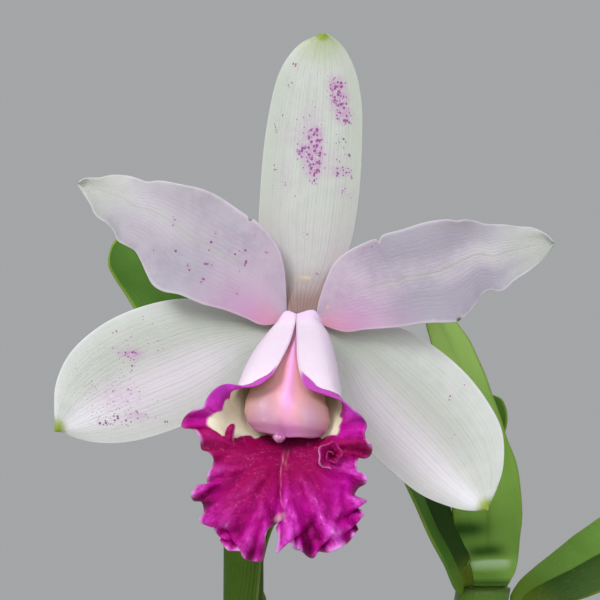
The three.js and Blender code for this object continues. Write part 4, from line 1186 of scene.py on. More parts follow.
def lip_masks(grid, s, t, relief):
    """Masks of the lip. fan runs out from the throat, for streaks that spread like a fan"""
    right, up = grid[..., 0], grid[..., 1]
    edge = np.abs(t)
    run = np.linalg.norm(np.diff(grid, axis=1), axis=2)
    from_left = np.concatenate([np.zeros((len(run), 1)), np.cumsum(run, axis=1)], axis=1)
    from_margin = np.minimum(from_left, from_left[:, -1:] - from_left)
    band = np.where(t < 0, along(LEFT_BAND, s), along(RIGHT_BAND, s))
    margin_band = smooth(1.2, 0.72, from_margin / band) * smooth(0.25, 0.31, s)
    throat = up + 0.5 * ripple(right / 3.2, 9)
    midlobe = np.maximum(smooth(-27.1, -28.1, throat) * smooth(0.36, 0.4, s), smooth(0.54, 0.58, s))
    turn, radius = from_throat(right, up)
    reach = np.maximum(edge, past_start(s))
    midlobe_reach = np.clip(reach, 0, 1) * smooth(MIDLOBE_START - 0.12, 0.74, s)
    side_lobe_reach = 0.9 * smooth(0.56, 0.46, s) * smooth(0.35, 0.6, edge)
    off_crease = right - crease_place(up)
    crease = bell(off_crease, 0, 0.15) * smooth(-46, -42, up)
    second = 0.6 * bell(off_crease, 0.9, 0.16) * smooth(-36, -33, up)
    lilac = smooth(0.35, 0.8, 1 - np.abs(edge - 0.25)) * smooth(0.4, 0.2, s) * smooth(0.75, 0.4, edge)
    beside, above = right - PALE_PATCH[0], up - PALE_PATCH[1]
    from_patch = np.hypot(beside, 1.8 * (above - 0.4 * beside))
    return {
        "place": grid,
        "fan": np.stack([FAN_SPREAD * turn, radius / FAN_SPREAD, np.zeros_like(radius)], axis=-1),
        "reach": midlobe_reach * (0.66 + 0.34 * smooth(-9, 0, right)) + side_lobe_reach,
        "pigment": np.maximum(margin_band, midlobe),
        "frill": smooth(0.94, 1.0, reach) * smooth(0.34, 0.45, s),
        "violet": smooth(0.5, 0.38, s) * smooth(0.6, 0.9, edge),
        # painted highlight along the margins of the tube
        "rim": smooth(0.4, 0.1, from_margin) * smooth(0.32, 0.24, s),
        "lilac": lilac + 0.7 * smooth(0.1, 0, s),
        "crease": np.clip(crease + second, 0, 1) * smooth(0.5, 0.56, s),
        "pale": smooth(2.4, 0, from_patch) * smooth(0.8, 0.9, s),
        # relief is the shading of the folds, painted into the colour as shade in the valleys and highlights
        # on the crests
        "relief": relief,
    }


def lip_scrap(grid, thickness, reach, rim, relief):
    """The shape of a small blade of the lip's own tissue, from places in the front view"""
    masks = {"place": grid, "fan": 0.5 * grid, "pigment": 1.0, "reach": reach, "rim": rim, "relief": relief}
    masks.update(dict.fromkeys(("frill", "violet", "lilac", "crease", "pale"), 0.0))
    return sheet(facing_grid(grid), thickness, TOWARDS_EYE, masks)


CURL = {
    "place": [7.4, -31.6],
    "base": 29.2,
    "height": 2.6,
    "inner_radius": 0.2,
    "radius": 3.6,
    "turns": 1.6,
    "start": 0.9,
    "thickness": 0.34,
    "lit_side": math.radians(215),
}
FINGER = {
    "spine": [[-16.4, -30, 27.6], [-16.5, -28.4, 28.8], [-16.2, -26.4, 29.2], [-15.7, -24.6, 28.8]],
    "half_width": 1.15,
    "thickness": 0.4,
}


def curl():
    """A margin rolled up like a rosebud, at the right of the throat"""
    turn, rise = crossed(shares(89), shares(15))
    angle = CURL["start"] + 2 * math.pi * CURL["turns"] * turn
    radius = CURL["inner_radius"] + (CURL["radius"] - CURL["inner_radius"]) * turn**0.8
    radius = radius * (0.3 + 0.7 * rise**1.3) * (1 + 0.1 * np.sin(5 * angle + 1) * rise)
    level = CURL["base"] + CURL["height"] * rise * (1 - 0.45 * turn) + 0.35 * np.sin(4 * angle) * rise**2
    x, y = CURL["place"]
    grid = np.stack([x + radius * np.cos(angle), y + radius * np.sin(angle), level], axis=-1)
    # Painted light: a pale highlight on the top of the outer turns on the lit side, and the relief values
    # paint shade low in the bud and highlights towards its top
    lit = smooth(0.5, 0.8, turn) * smooth(-0.2, 0.8, np.cos(angle - CURL["lit_side"]))
    rim = 0.4 * smooth(0.9, 1, rise) * lit
    return lip_scrap(grid, CURL["thickness"], 0.1 + 0.3 * turn, rim, 0.8 * rise - 0.05)


def finger():
    """A narrow lobe that stands up in front of the pale side of the throat"""
    rise, across = crossed(shares(25), 2 * shares(12) - 1)
    spine = by_length(FINGER["spine"], rise[:, 0])[:, None]
    blunt = np.sqrt(np.clip(1 - (np.clip(rise - 0.8, 0, 1) / 0.2) ** 2, 0.02, 1))
    width = FINGER["half_width"] * (1 - 0.25 * rise) * blunt
    offset = np.stack([width * across, 0.15 * width * across, -0.5 * across**2], axis=-1)
    # Painted light: a pale highlight along one edge, and the relief values paint shade on that half and
    # highlights on the other
    rim = 0.8 * smooth(0.55, 0.95, across) * smooth(0.2, 0.5, rise)
    return lip_scrap(spine + offset, FINGER["thickness"], 0.1 + 0.1 * rise, rim, 0.5 - 0.2 * across)


def lip(look):
    s_line = shares(LIP_ROWS)
    t_line = np.sin(LIP_EDGE_CROWDING * np.pi * (2 * shares(LIP_COLUMNS) - 1))
    t_line = t_line / math.sin(LIP_EDGE_CROWDING * math.pi)
    s, t = crossed(s_line, t_line)
    grid = lip_grid(s_line, t_line)
    frill = frilled_margins(grid, s_line, t_line)
    # relief is the folds' shading, painted into the colour as shade and highlights
    height, relief = ruffle(s, t, grid[..., 0], grid[..., 1], frill)
    grid[..., 2] += height
    thickness = LIP_THICKNESS * (1 - 0.4 * np.abs(t) ** 6) * (1 - 0.35 * smooth(0.9, 1, s))
    blade = sheet(facing_grid(grid), thickness, LIP_FACE, lip_masks(grid, s, t, relief))
    return piece("lip_ruffled", merged([blade, curl(), finger()]), look, ["lip"])


# Column
COLUMN_SPINE = [
    [0, -0.1, 1.8], [-0.9, -6, 10.6], [-1.9, -13, 19.8], [-2.9, -19, 23.4], [-3, -22.3, 24.8],
    [-3, -25, 25.8], [-3, -26.2, 26.2],
]
COLUMN_HALF_WIDTHS = [
    [0, 2], [0.25, 3.2], [0.5, 4.9], [0.66, 7], [0.76, 8.5], [0.84, 9.3], [0.9, 9.5], [0.96, 9], [1, 7.9],
]
COLUMN_HALF_DEPTHS = [[0, 1.4], [0.3, 2.4], [0.6, 3.6], [0.86, 3.6], [0.95, 2.9], [1, 2]]
COLUMN_HOOD = 1.3
COLUMN_TILT = 0.11
COLUMN_LID = [[0.93, 0.45], [0.8, 0.75], [0.6, 0.7], [0.3, -0.2]]
COLUMN_LID_SHARES = [1.01, 1.03, 1.06, 1.1]


def lid_rings(ring, way, lid):
    """Rings over the last one of a solid, from [share of its size, distance along way] of each"""
    centre = ring.mean(axis=0)
    return [centre + (ring - centre) * share + np.array(way) * ahead for share, ahead in lid]


def column_ring(s, centre, way, angle):
    across = unit(np.array([1.0, 0, 0]) - way[0] * way)
    out = -np.cross(across, way)
    out = -out if out[1] > 0 else out
    power = 1 - 0.12 * smooth(0.7, 0.95, s)
    side, front = squared(np.cos(angle), power), squared(np.sin(angle), power)
    ridge = 0.75 * bell(side, 0, 0.16) * smooth(0.2, 0.5, s) * smooth(0.92, 0.78, s)
    cheeks = 0.5 * bell(np.abs(side), 0.5, 0.3) * smooth(0.72, 0.92, s)
    cleft = 0.7 * bell(side, 0, 0.16) * smooth(0.86, 1, s)
    width = along(COLUMN_HALF_WIDTHS, s) * side
    depth = along(COLUMN_HALF_DEPTHS, s) * front + (ridge + cheeks - cleft) * np.maximum(front, 0)
    overhang = COLUMN_HOOD * np.sin(angle) * smooth(0.82, 1, s)
    ring = centre + width[:, None] * across + depth[:, None] * out + overhang[:, None] * way
    ring[:, 2] -= COLUMN_TILT * (ring[:, 0] - centre[0]) * smooth(0.6, 0.92, s)
    return ring


def column(look, steps=110, sides=110):
    spine = facing_line(COLUMN_SPINE)
    s, angle = shares(steps), around(sides)
    centres, ways = by_length(spine, s), tangents(spine, s)
    rings = [column_ring(*at, angle) for at in zip(s, centres, ways)]
    rings = np.array(rings + lid_rings(rings[-1], ways[-1], COLUMN_LID))
    s, angle = crossed(np.concatenate([s, COLUMN_LID_SHARES]), angle)
    front = np.maximum(np.sin(angle), 0)
    side = np.cos(angle)
    low_side = smooth(0.96, 1.0, s) * smooth(0.1, -0.5, np.sin(angle))
    masks = {
        "place": rings,
        # The upper term of pink and the next mask paint light on the top, which lies in the shadow of the
        # roof
        "pink": np.clip(smooth(0.95, 0.25, np.abs(side) + 0.3 * s) * front + smooth(0.5, 0.2, s), 0, 1),
        "painted_slit_light": smooth(0.7, 0.4, s),
        "ridge": bell(side, 0, 0.12) * front * smooth(0.1, 0.3, s) * smooth(0.96, 0.84, s),
        "lobe": bell(np.abs(side), 0.5, 0.3) * smooth(0.78, 0.9, s) * smooth(1.0, 0.94, s),
        "low": smooth(0.9, 0.99, s),
        "mouth": smooth(0.9, 0.98, s) * smooth(0.4, 0.1, np.abs(side)),
        # dark under the hood's end: partly its own colour, partly painted shade
        "hollow_and_shade": smooth(1.02, 1.05, s) + low_side,
    }
    return piece("column_hood", loft(rings, masks), look, ["column"])


ANTHER = {"place": [-4.8, -27.7, 28.2], "half_width": 1.5, "half_height": 1.2, "half_depth": 1.5}


def anther(look, steps=40, sides=48):
    """A cap with a short beak and a groove down its middle"""
    centre = facing_line([ANTHER["place"]])[0]
    polar, angle = crossed(np.pi * np.linspace(0.02, 0.98, steps + 1), around(sides))
    side, front, rise = np.sin(polar) * np.cos(angle), np.sin(polar) * np.sin(angle), np.cos(polar)
    groove = 1 - 0.14 * bell(side, 0, 0.16)
    x = ANTHER["half_width"] * side * (1 - 0.25 * smooth(0.2, -1, rise))
    y = -ANTHER["half_depth"] * front * groove
    z = ANTHER["half_height"] * rise * groove
    rings = centre + np.stack([x, y, z], axis=-1)
    return piece("anther_cap_beaked", loft(rings, {}), look, ["anther_cap"])


# Pseudobulbs: foot on the rhizome, tip under the leaves, half-width at the middle, and the share of
# each length between two joints that a dry sheath covers
BULBS = {
    "flowering": {"foot": [-4, -14], "tip": [-12.9, -14.5, 333], "radius": 7.6, "sheathed": 0.55},
    "right": {"foot": [16, 8], "tip": [45, 11, 338.5], "radius": 7.8, "sheathed": 0.5},
    "rear": {"foot": [34, 26], "tip": [53.4, 29.5, 331], "radius": 7.2, "sheathed": 0.62},
    "old_left": {"foot": [-24, 4], "tip": [-62, 20, 238], "radius": 7.4, "sheathed": 0.2},
    "old_back": {"foot": [-6, 28], "tip": [-22, 58, 226], "radius": 7, "sheathed": 0.12},
    "young": {"foot": [18, -20], "tip": [30, -46, 168], "radius": 5.6, "sheathed": 0.8},
}
BULB_TIP_RADIUS = 6.7
BULB_FOOT_RISE = 6.4
BULB_LEAN = [[0, 0], [0.22, 0.3], [0.64, 0.7], [1, 1]]
BULB_JOINTS = [0.22, 0.45, 0.68, 0.88]
BULB_RADII = [[0, 0.55], [0.12, 0.78], [0.5, 1], [0.85, 0.86], [1, 0.8]]
BULB_JOINT_RELIEF = 0.35
BULB_LID = [[0.97, 0.12], [0.9, 0.2], [0.5, 0.22]]
BULB_FURROWS = 11
SHEATH_THICKNESS = 0.38


def bulb_path(bulb):
    foot, tip = np.array([*bulb["foot"], RHIZOME_LEVEL + BULB_FOOT_RISE]), np.array(bulb["tip"])
    return np.array([foot + (tip - foot) * [lean, lean, rise] for lean, rise in BULB_LEAN])


def bulb_radius(bulb, s):
    body = bulb["radius"] * along(BULB_RADII, s)
    joints = sum(bell(s, at, 0.02) for at in BULB_JOINTS)
    return body + (BULB_TIP_RADIUS - body) * smooth(0.9, 1, s) + BULB_JOINT_RELIEF * joints


def sheath_cover(bulb, s, angle, seed):
    """1 under a dry sheath: each starts at a joint and has a ragged top edge"""
    cover = np.zeros(np.broadcast(s, angle).shape)
    starts = [0.0, *BULB_JOINTS]
    for k, (low, high) in enumerate(zip(starts[:-1], starts[1:])):
        share = bulb["sheathed"] * (1.25 - 0.22 * k)
        ragged = 0.15 * ripple(3 * np.cos(angle) + 2 * np.sin(angle) + k, seed + k, 5)
        top = low + (high - low) * np.clip(share + ragged, 0, 1.08)
        cover = np.maximum(cover, smooth(low - 0.004, low + 0.002, s) * smooth(top + 0.003, top - 0.003, s))
    return cover


def cane(name, bulb, look, steps=210, sides=64):
    seed = 100 + 7 * list(BULBS).index(name)

    def relief(s, angle):
        furrows = 0.22 * np.sin(BULB_FURROWS * angle + 0.6 * ripple(4 * s, seed))
        fine = 0.12 * np.sin(23 * angle + seed)
        swell = 0.2 * ripple(3 * s + 0.7 * np.sin(angle), seed + 3)
        body = (furrows + fine + swell) * smooth(0.0, 0.08, s) * smooth(1.0, 0.94, s)
        groove = sum(bell(s - at, 0.012, 0.004) for at in BULB_JOINTS)
        return body - 0.3 * groove + SHEATH_THICKNESS * sheath_cover(bulb, s, angle, seed)

    rings = rings_along(bulb_path(bulb), lambda s: bulb_radius(bulb, s), steps, sides, relief, level=True)
    rings = np.concatenate([rings, lid_rings(rings[-1], [0, 0, 1], BULB_LID)])
    s, angle = crossed(np.concatenate([shares(steps), np.ones(len(BULB_LID))]), around(sides))
    joint = sum(bell(s - at, 0.010, 0.005) for at in BULB_JOINTS)
    masks = {
        # painted shade in the furrows
        "furrow_shade": 0.5 - 0.5 * np.sin(BULB_FURROWS * angle),
        "sheath": sheath_cover(bulb, s, angle, seed),
        "joint": np.clip(0.8 * joint + 0.5 * smooth(0.996, 0.999, s), 0, 1),
        "fresh": smooth(0.9, 0.95, s),
        "lit": smooth(0.2, 0.9, np.sin(angle + 3.9)),
    }
    node = "pseudobulb_" + name
    return piece(node + "_cane", loft(rings, masks), look, [node])


# Flowering stalk and spathe
STALK_FOOT = facing(-12.8, -56.0, -8.5)
STALK_PATH = [
    [0, 0, -1.5], [0, 0, -4], [-0.2, -0.8, -9.5], [-2, -5.5, -14.5], [-5.4, -15, -16], [-9.6, -26, -12.8],
    [-12.2, -36, -9.6], [-12.8, -45, -8.6], [-12.8, -56, -8.5],
]
STALK_RADII = [
    [0, 1.4], [0.012, 2.5], [0.035, RECEPTACLE_RADIUS], [0.1, 2.9], [0.3, 2.4], [0.55, 2], [1, 1.7],
]
STALK_RIBS = 6
SEAT_GAP = 0.3
SEAT_LEVEL = BULBS["flowering"]["tip"][2] + SEAT_GAP


def stalk(look, steps=150, sides=48):
    foot = np.array([STALK_FOOT[0], STALK_FOOT[1], SEAT_LEVEL])
    path = np.concatenate([facing_line(STALK_PATH), [foot]])

    def relief(s, angle):
        return 0.14 * np.sin(STALK_RIBS * angle) * smooth(0.02, 0.1, s) * smooth(0.6, 0.4, s)

    rings = rings_along(path, lambda s: along(STALK_RADII, s), steps, sides, relief)
    shape = loft(rings, {"along": shares(steps)[:, None]})
    return piece("pedicel_stem", shape, look, ["pedicel"])


SPATHE = {
    "half_width": 5.1,
    "half_depth": 4.1,
    "wall": 0.7,
    "lap": 1.3,
    "height": 34.0,
    "edge_at": -95.0,
    "turn": 395.0,
    "twist": 40.0,
    "back_low": 0.35,
    "flatten": 0.12,
    "lift": 0.15,
    "vein_width": 30.0,
}


def spathe(look, rows=80, columns=150):
    s, share = crossed(shares(rows), shares(columns))
    angle = np.radians(SPATHE["edge_at"] + SPATHE["twist"] * s + SPATHE["turn"] * share)
    inset = SPATHE["lap"] * (1 - share)
    width = SPATHE["half_width"] - inset
    depth = (SPATHE["half_depth"] - inset) * (1 - SPATHE["flatten"] * s)
    top = SPATHE["height"] * (1 - SPATHE["back_low"] * np.sin(np.pi * share) ** 2)
    x = STALK_FOOT[0] + width * np.cos(angle)
    y = STALK_FOOT[1] + depth * np.sin(angle)
    z = SEAT_LEVEL + SPATHE["lift"] + top * s
    masks = {
        "across": 2 * share - 1,
        "place": np.stack([SPATHE["vein_width"] * share, top * s, np.zeros_like(s)], axis=-1),
        "edge": smooth(0.965, 1.0, share) + smooth(0.03, 0.0, share),
        "tip": smooth(0.93, 1.0, s),
    }
    wall = SPATHE["wall"] * (1 - 0.5 * smooth(0.9, 1.0, s))
    shape = sheet(np.stack([x, y, z], axis=-1), wall, TOWARDS_EYE, masks)
    return piece("spathe_sheath", shape, look, ["spathe"])


# Leaves. Each has its seat beside the tip of its pseudobulb, and a line to its own tip: front in the
# front view as [right, up, depth], or spine as the place on the plant. face is the way its upper side
# looks. It has half-widths along it, or its widest one and the share of it at the foot. fold and
# far_fold are how far its halves rise, and tone is how light its green is. The collar is the bend of a
# blade over its joint, painted with a glossy reflection and stripes of shade. far_shade and near_shade
# paint shade on one half of a folded blade, and top_light paints light on its upper part, for the
# leaves in view.
LEAF_RISE = 4.0
LEAF_LIFT = 0.35
LEAF_TIP_CROWDING = 1.15
LEAF_WIDTHS = [[0, 0.3], [0.15, 0.36], [0.38, 0.82], [0.6, 1], [0.8, 0.92], [0.93, 0.64], [1, 0.3]]
LEAVES = {
    "leaf_flowering_left": {
        "bulb": "flowering",
        "seat": [-2.9, 3.4],
        "front": [
            [-14.2, -56, -15.6], [-13.6, -46.8, -17], [-10.6, -35.2, -20], [-10.8, -23.6, -24],
            [-17.6, -9, -28], [-27.4, 4.4, -31], [-35.2, 12.8, -33], [-41, 19.6, -34],
        ],
        "face": [0.1, -1, 0.1],
        "widths": [[0, 2], [0.15, 3.2], [0.38, 9.6], [0.6, 12.4], [0.8, 11], [0.93, 8.8], [1, 7]],
        "tone": 0.25,
    },
    "leaf_flowering_back": {
        "bulb": "flowering",
        "seat": [2.8, 4],
        "front": [
            [-11.5, -62, -18.5], [-11.6, -52, -22], [-10, -43, -28], [-4.6, -31, -35], [-0.6, -18, -38],
            [1.2, -2.8, -40], [2.3, 13, -41], [3, 25, -43],
        ],
        "face": [0, -1, 0.1],
        "half_width": 10.5,
        "foot": 0.56,
        "tone": 0.3,
    },
    "leaf_right_broad": {
        "bulb": "right",
        "seat": [1.3, 0.6],
        "front": [
            [43.4, -51.6, -34.6], [43.3, -44.5, -34], [42.4, -35.6, -33], [40.8, -27, -33],
            [38.2, -16, -34], [35.2, -7, -36], [32.6, -1.4, -38], [30.4, 3.4, -40],
        ],
        "face": [0, -1, 0.05],
        "widths": [
            [0, 4], [0.02, 5.6], [0.06, 6.7], [0.13, 7.4], [0.25, 8.3], [0.38, 8.3], [0.52, 6.7], [0.68, 5.6],
            [0.8, 4.8], [0.93, 3.4], [1, 1.6],
        ],
        "fold": 0.12,
        "collar": 1.0,
        "top_light": 1.0,
        "tone": 0.95,
    },
    "leaf_right_edge_on": {
        "bulb": "right",
        "seat": [-5.2, -2.4],
        "rise": 1.4,
        "front": [
            [36.5, -59.4, -31.4], [34.3, -54.4, -30.6], [31.2, -48.2, -29.8], [28.5, -41.6, -29.4],
            [25.6, -34.4, -29.6], [21, -25, -30.6], [16.8, -14, -32], [13.4, -2.8, -34],
        ],
        "face": [0.86, -0.5, 0.1],
        "widths": [
            [0, 2], [0.02, 3.6], [0.05, 4.8], [0.12, 5.2], [0.38, 6.6], [0.6, 8.4], [0.8, 8.1], [0.93, 5.8],
            [1, 2.7],
        ],
        "fold": 0.2,
        "far_fold": 0.38,
        "far_shade": 1.0,
        "tone": 0.2,
    },
    "leaf_rear_upright": {
        "bulb": "rear",
        "seat": [-2.8, 0.6],
        "front": [
            [45.4, -56, -55], [43.6, -44, -56], [43.4, -34, -57], [44.2, -26, -58], [44.2, -21, -58.5],
            [43.2, -17.6, -59],
        ],
        "face": [-0.62, -0.78, 0.1],
        "widths": [[0, 2], [0.2, 3], [0.62, 3.2], [0.76, 4], [0.86, 5.6], [0.92, 5.4], [0.97, 3.8], [1, 1.4]],
        "tone": 0.3,
    },
    "leaf_rear_spreading": {
        "bulb": "rear",
        "seat": [2.9, -0.6],
        "front": [
            [53.2, -63.8, -54.2], [57.5, -61.4, -54.8], [63, -58.6, -55.6], [69, -55.2, -56.8],
            [75.6, -52.2, -58.4], [84, -49.6, -60.6], [95, -47.4, -63.4], [107, -45.8, -66.8],
            [119, -45, -70],
        ],
        "rise": 1.6,
        "face": [-0.1, -0.66, 0.75],
        "widths": [
            [0, 2.4], [0.05, 4.4], [0.12, 6], [0.2, 7.4], [0.29, 8.6], [0.38, 10], [0.5, 12.6], [0.64, 14.6],
            [0.8, 13.8], [0.93, 9.6], [1, 4.8],
        ],
        "fold": -0.35,
        "far_fold": 0.15,
        "near_shade": 0.9,
        "tone": 0.65,
    },
    "leaf_old_left_outer": {
        "bulb": "old_left",
        "seat": [-2.8, 0.6],
        "spine": [[-70, 22, 256], [-84, 25, 278], [-104, 29, 297], [-130, 34, 309]],
        "face": [0.55, 0, 0.84],
        "half_width": 17,
        "foot": 0.42,
        "tone": 0.2,
    },
    "leaf_old_left_inner": {
        "bulb": "old_left",
        "seat": [2.4, -1.6],
        "spine": [[-57, 12, 258], [-53, 1, 280], [-53, -15, 300], [-57, -36, 314]],
        "face": [0.15, 0.75, 0.65],
        "half_width": 16,
        "foot": 0.44,
        "tone": 0.3,
    },
    "leaf_old_back_left": {
        "bulb": "old_back",
        "seat": [-2.6, 1.6],
        "spine": [[-29, 69, 246], [-39, 84, 270], [-53, 102, 289], [-70, 121, 302]],
        "face": [0.5, -0.5, 0.7],
        "half_width": 16,
        "foot": 0.44,
        "tone": 0.2,
    },
    "leaf_old_back_right": {
        "bulb": "old_back",
        "seat": [2.8, 1],
        "spine": [[-15, 64, 246], [-6, 76, 270], [7, 91, 292], [23, 107, 309]],
        "face": [-0.5, -0.6, 0.6],
        "half_width": 16,
        "foot": 0.44,
        "tone": 0.3,
    },
    "leaf_young_front": {
        "bulb": "young",
        "seat": [-2.2, -2],
        "spine": [[25, -55, 184], [18, -68, 203], [8, -85, 220], [-5, -103, 231]],
        "face": [0.5, 0.5, 0.7],
        "half_width": 11,
        "foot": 0.56,
        "tone": 0.8,
    },
    "leaf_young_right": {
        "bulb": "young",
        "seat": [2.6, 0.6],
        "spine": [[37, -48, 188], [46, -52, 211], [59, -58, 231], [76, -65, 245]],
        "face": [-0.75, 0.2, 0.6],
        "half_width": 11,
        "foot": 0.56,
        "tone": 0.8,
    },
}


def leaf_width(spec, s):
    """The half-width at s, with a blunt tip: from the leaf's own knots, or a common form made narrow at
    its foot"""
    blunt = np.sqrt(np.clip(1 - ((s - 0.95) / 0.05).clip(0, 1) ** 2, 0.0016, 1))
    if "widths" in spec:
        return eased(spec["widths"], s, 0.03) * blunt
    narrow = spec["foot"] + (1 - spec["foot"]) * smooth(0, 0.25, s)
    return spec["half_width"] * eased(LEAF_WIDTHS, s, 0.08) * narrow * blunt


def leaf(name, spec, look, steps=120, columns=32):
    seed = 300 + 11 * list(LEAVES).index(name)
    seat = np.array(BULBS[spec["bulb"]]["tip"]) + [*spec["seat"], SEAT_GAP + LEAF_LIFT]
    spine = facing_line(spec["front"]) if "front" in spec else np.array(spec["spine"], float)
    path = np.concatenate([[seat, seat + [0, 0, spec.get("rise", LEAF_RISE)]], spine])
    s = 1 - (1 - shares(steps)) ** LEAF_TIP_CROWDING
    centres, ways = by_length(path, s), tangents(path, s)
    side = unit(np.cross(ways, spec["face"]))
    upper = unit(np.cross(side, ways))
    width = leaf_width(spec, s)[:, None]
    length = np.linalg.norm(np.diff(centres, axis=0), axis=1).sum()
    s, t = crossed(s, 2 * shares(columns) - 1)
    from_rib, edge = width * t, np.abs(t)

    flex = spec.get("fold", 0.45)
    far = smooth(0, 0.06, t * np.sign(side[:, 1].mean()))
    fold = width * flex * (1 - 0.45 * smooth(0.5, 1, s)) * edge**1.3
    fold = fold * (1 + (spec.get("far_fold", flex) / flex - 1) * far)
    wave = 0.5 * ripple(3 * s + 1.5 * (t > 0), seed) * edge**3 * smooth(0.2, 0.5, s)
    sunk = 0.3 * bell(from_rib, 0, 0.8) * smooth(0.08, 0.3, s)
    collar = spec.get("collar", 0)
    rise = fold + wave - sunk + collar * bell(s, 0.06, 0.03) * (1 - t**2)
    grid = centres[:, None] + side[:, None] * from_rib[..., None] + upper[:, None] * rise[..., None]

    # Painted shade: dark stripes across the blade over its bend, and a dark joint line at its foot
    higher_shade_band = bell(s, 0.2, 0.03) * smooth(0.5, -0.6, t)
    lower_shade_band = 0.9 * bell(s, 0.125, 0.024) * smooth(0.95, 0.2, np.abs(t + 0.1))
    shade_bands_and_joint_line = higher_shade_band + lower_shade_band + bell(s, 0.01, 0.01) + 0.4 * smooth(0.36, 0.2, s) * smooth(0.08, 0.12, s)
    # The pale band over the collar is a painted reflection of its gloss
    fresh = smooth(0.096, 0.088, s) * smooth(0.048, 0.082, s) * smooth(0.86, 0.5, np.abs(t - 0.05))
    masks = {
        "across": t,
        "place": np.stack([from_rib, length * s, np.full_like(s, seed)], axis=-1),
        "tone": spec["tone"],
        "midrib": bell(from_rib, 0, 0.7) * smooth(0.05, 0.2, s) * smooth(1, 0.9, s),
        "edge": smooth(0.95, 1.0, edge) * smooth(0.1, 0.3, s) + smooth(0.99, 1, s),
        "collar": collar * fresh,
        "shade_bands_and_joint_line": collar * shade_bands_and_joint_line,
        # painted shade on one half of a folded blade, as far_shade and near_shade set it
        "dark": spec.get("far_shade", 0) * far + spec.get("near_shade", 0) * (1 - far),
        # painted light on the upper part of a blade
        "light": spec.get("top_light", 0) * smooth(0.45, 0.8, s),
        "base": smooth(0.14, 0.02, s) * (1 - collar),
    }
    thickness = LEAF_THICKNESS * (1 - 0.55 * edge**3) * (1 - 0.3 * s)
    shape = sheet(grid, thickness, upper.mean(axis=0), masks)
    return piece(name + "_blade", shape, look, [name])


# Rhizome and roots. Paths of roots are places of [distance from the seat, drop].
RHIZOME_RUNS = [["old_back", "old_left", "flowering", "young"], ["old_back", "right", "rear"]]
RHIZOME_RADIUS = 4.7
RHIZOME_SAG = 1.6
RHIZOME_SCALES = 7
SEAT_DEPTH = 5.5
SEAT_HEIGHT = 6.0
SEAT_RADII = [[0, 4], [0.5, 6.2], [1, 4.4]]
ROOT_RADIUS = 1.5
ROOTS_PER_SEAT = 2
ROOT_PATH = np.array([[3, 1], [9, 0.4], [14, 6], [17, 18]])
LONG_ROOTS_PER_SEAT = 3
LONG_ROOT_REACH = (16, 27)
LONG_ROOT_RADIUS = (1.0, 1.35)
LONG_ROOT_START = 4.0
LONG_ROOT_ROOM = 3.0
LONG_ROOT_SEED = 41
RHIZOME_MESH = (60, 32)
SEAT_MESH = (20, 32)
ROOT_MESH = (36, 12)
LONG_ROOT_MESH = (50, 12)


def scale_collars(s, angle):
    """The edges of the dry scales round the rhizome"""
    turn = RHIZOME_SCALES * s + 0.12 * np.sin(3 * angle)
    return 0.35 * (0.5 - 0.5 * np.cos(2 * np.pi * (turn % 1)))


def root_bumps(height, pitch, seed):
    def bumps(s, angle):
        return height * ripple(pitch * s + np.sin(angle), seed)

    return bumps


def root_run(foot, turn, out, level):
    return np.stack([foot[0] + out * np.cos(turn), foot[1] + out * np.sin(turn), level], axis=-1)


def long_root(foot, angle, heading, reach):
    """A root that creeps over the bark from angle to heading, dips at its end and stays inside the pot"""
    share = shares(5)
    level = RHIZOME_LEVEL + 1.2 * np.sin(3 * share) - 0.8 - 11 * np.maximum(share - 0.6, 0) ** 1.2
    places = root_run(foot, angle + (heading - angle) * share, LONG_ROOT_START + reach * share, level)
    limit = POT["top_radius"] - POT["rim_step"] - POT["wall"] - LONG_ROOT_ROOM
    places[:, :2] /= np.maximum(np.hypot(places[:, 0], places[:, 1]) / limit, 1)[:, None]
    return places


def rhizome(look):
    parts = []

    def add(path, radius, mesh, relief, scale=0.0, green=0.0):
        tip = smooth(0.75, 1, shares(mesh[0]))[:, None]
        parts.append(loft(rings_along(path, radius, *mesh, relief), {"scale": scale, "green": green * tip}))

    for run in RHIZOME_RUNS:
        for ends in zip(run[:-1], run[1:]):
            start, end = (np.array([*BULBS[name]["foot"], RHIZOME_LEVEL]) for name in ends)
            path = [start, (start + end) / 2 - [0, 0, RHIZOME_SAG], end]
            add(path, lambda s: RHIZOME_RADIUS, RHIZOME_MESH, scale_collars, scale=1.0)
    draw = np.random.default_rng(LONG_ROOT_SEED)
    for i, bulb in enumerate(BULBS.values()):
        foot = bulb["foot"]
        seat = [[*foot, RHIZOME_LEVEL + height] for height in (-SEAT_DEPTH, 0, SEAT_HEIGHT)]
        add(seat, lambda s: along(SEAT_RADII, s), SEAT_MESH, scale_collars, scale=1.0)
        for k in range(ROOTS_PER_SEAT):
            angle = 1.1 * i + 2 * math.pi * k / ROOTS_PER_SEAT
            path = root_run(foot, angle, ROOT_PATH[:, 0], RHIZOME_LEVEL - ROOT_PATH[:, 1])
            add(path, lambda s: ROOT_RADIUS, ROOT_MESH, root_bumps(0.12, 14, 60 + 10 * i + k))
        for k in range(LONG_ROOTS_PER_SEAT):
            angle = 1.1 * i + 0.9 + 2 * math.pi * k / LONG_ROOTS_PER_SEAT + draw.uniform(-0.4, 0.4)
            heading = angle + draw.uniform(-0.7, 0.7)
            path = long_root(foot, angle, heading, draw.uniform(*LONG_ROOT_REACH))
            thick = draw.uniform(*LONG_ROOT_RADIUS)
            bumps = root_bumps(0.1, 16, 200 + 10 * i + k)
            add(path, lambda s, thick=thick: thick * (1 - 0.3 * s), LONG_ROOT_MESH, bumps, green=1.0)
    return piece("rhizome_and_roots", merged(parts), look, ["rhizome"])


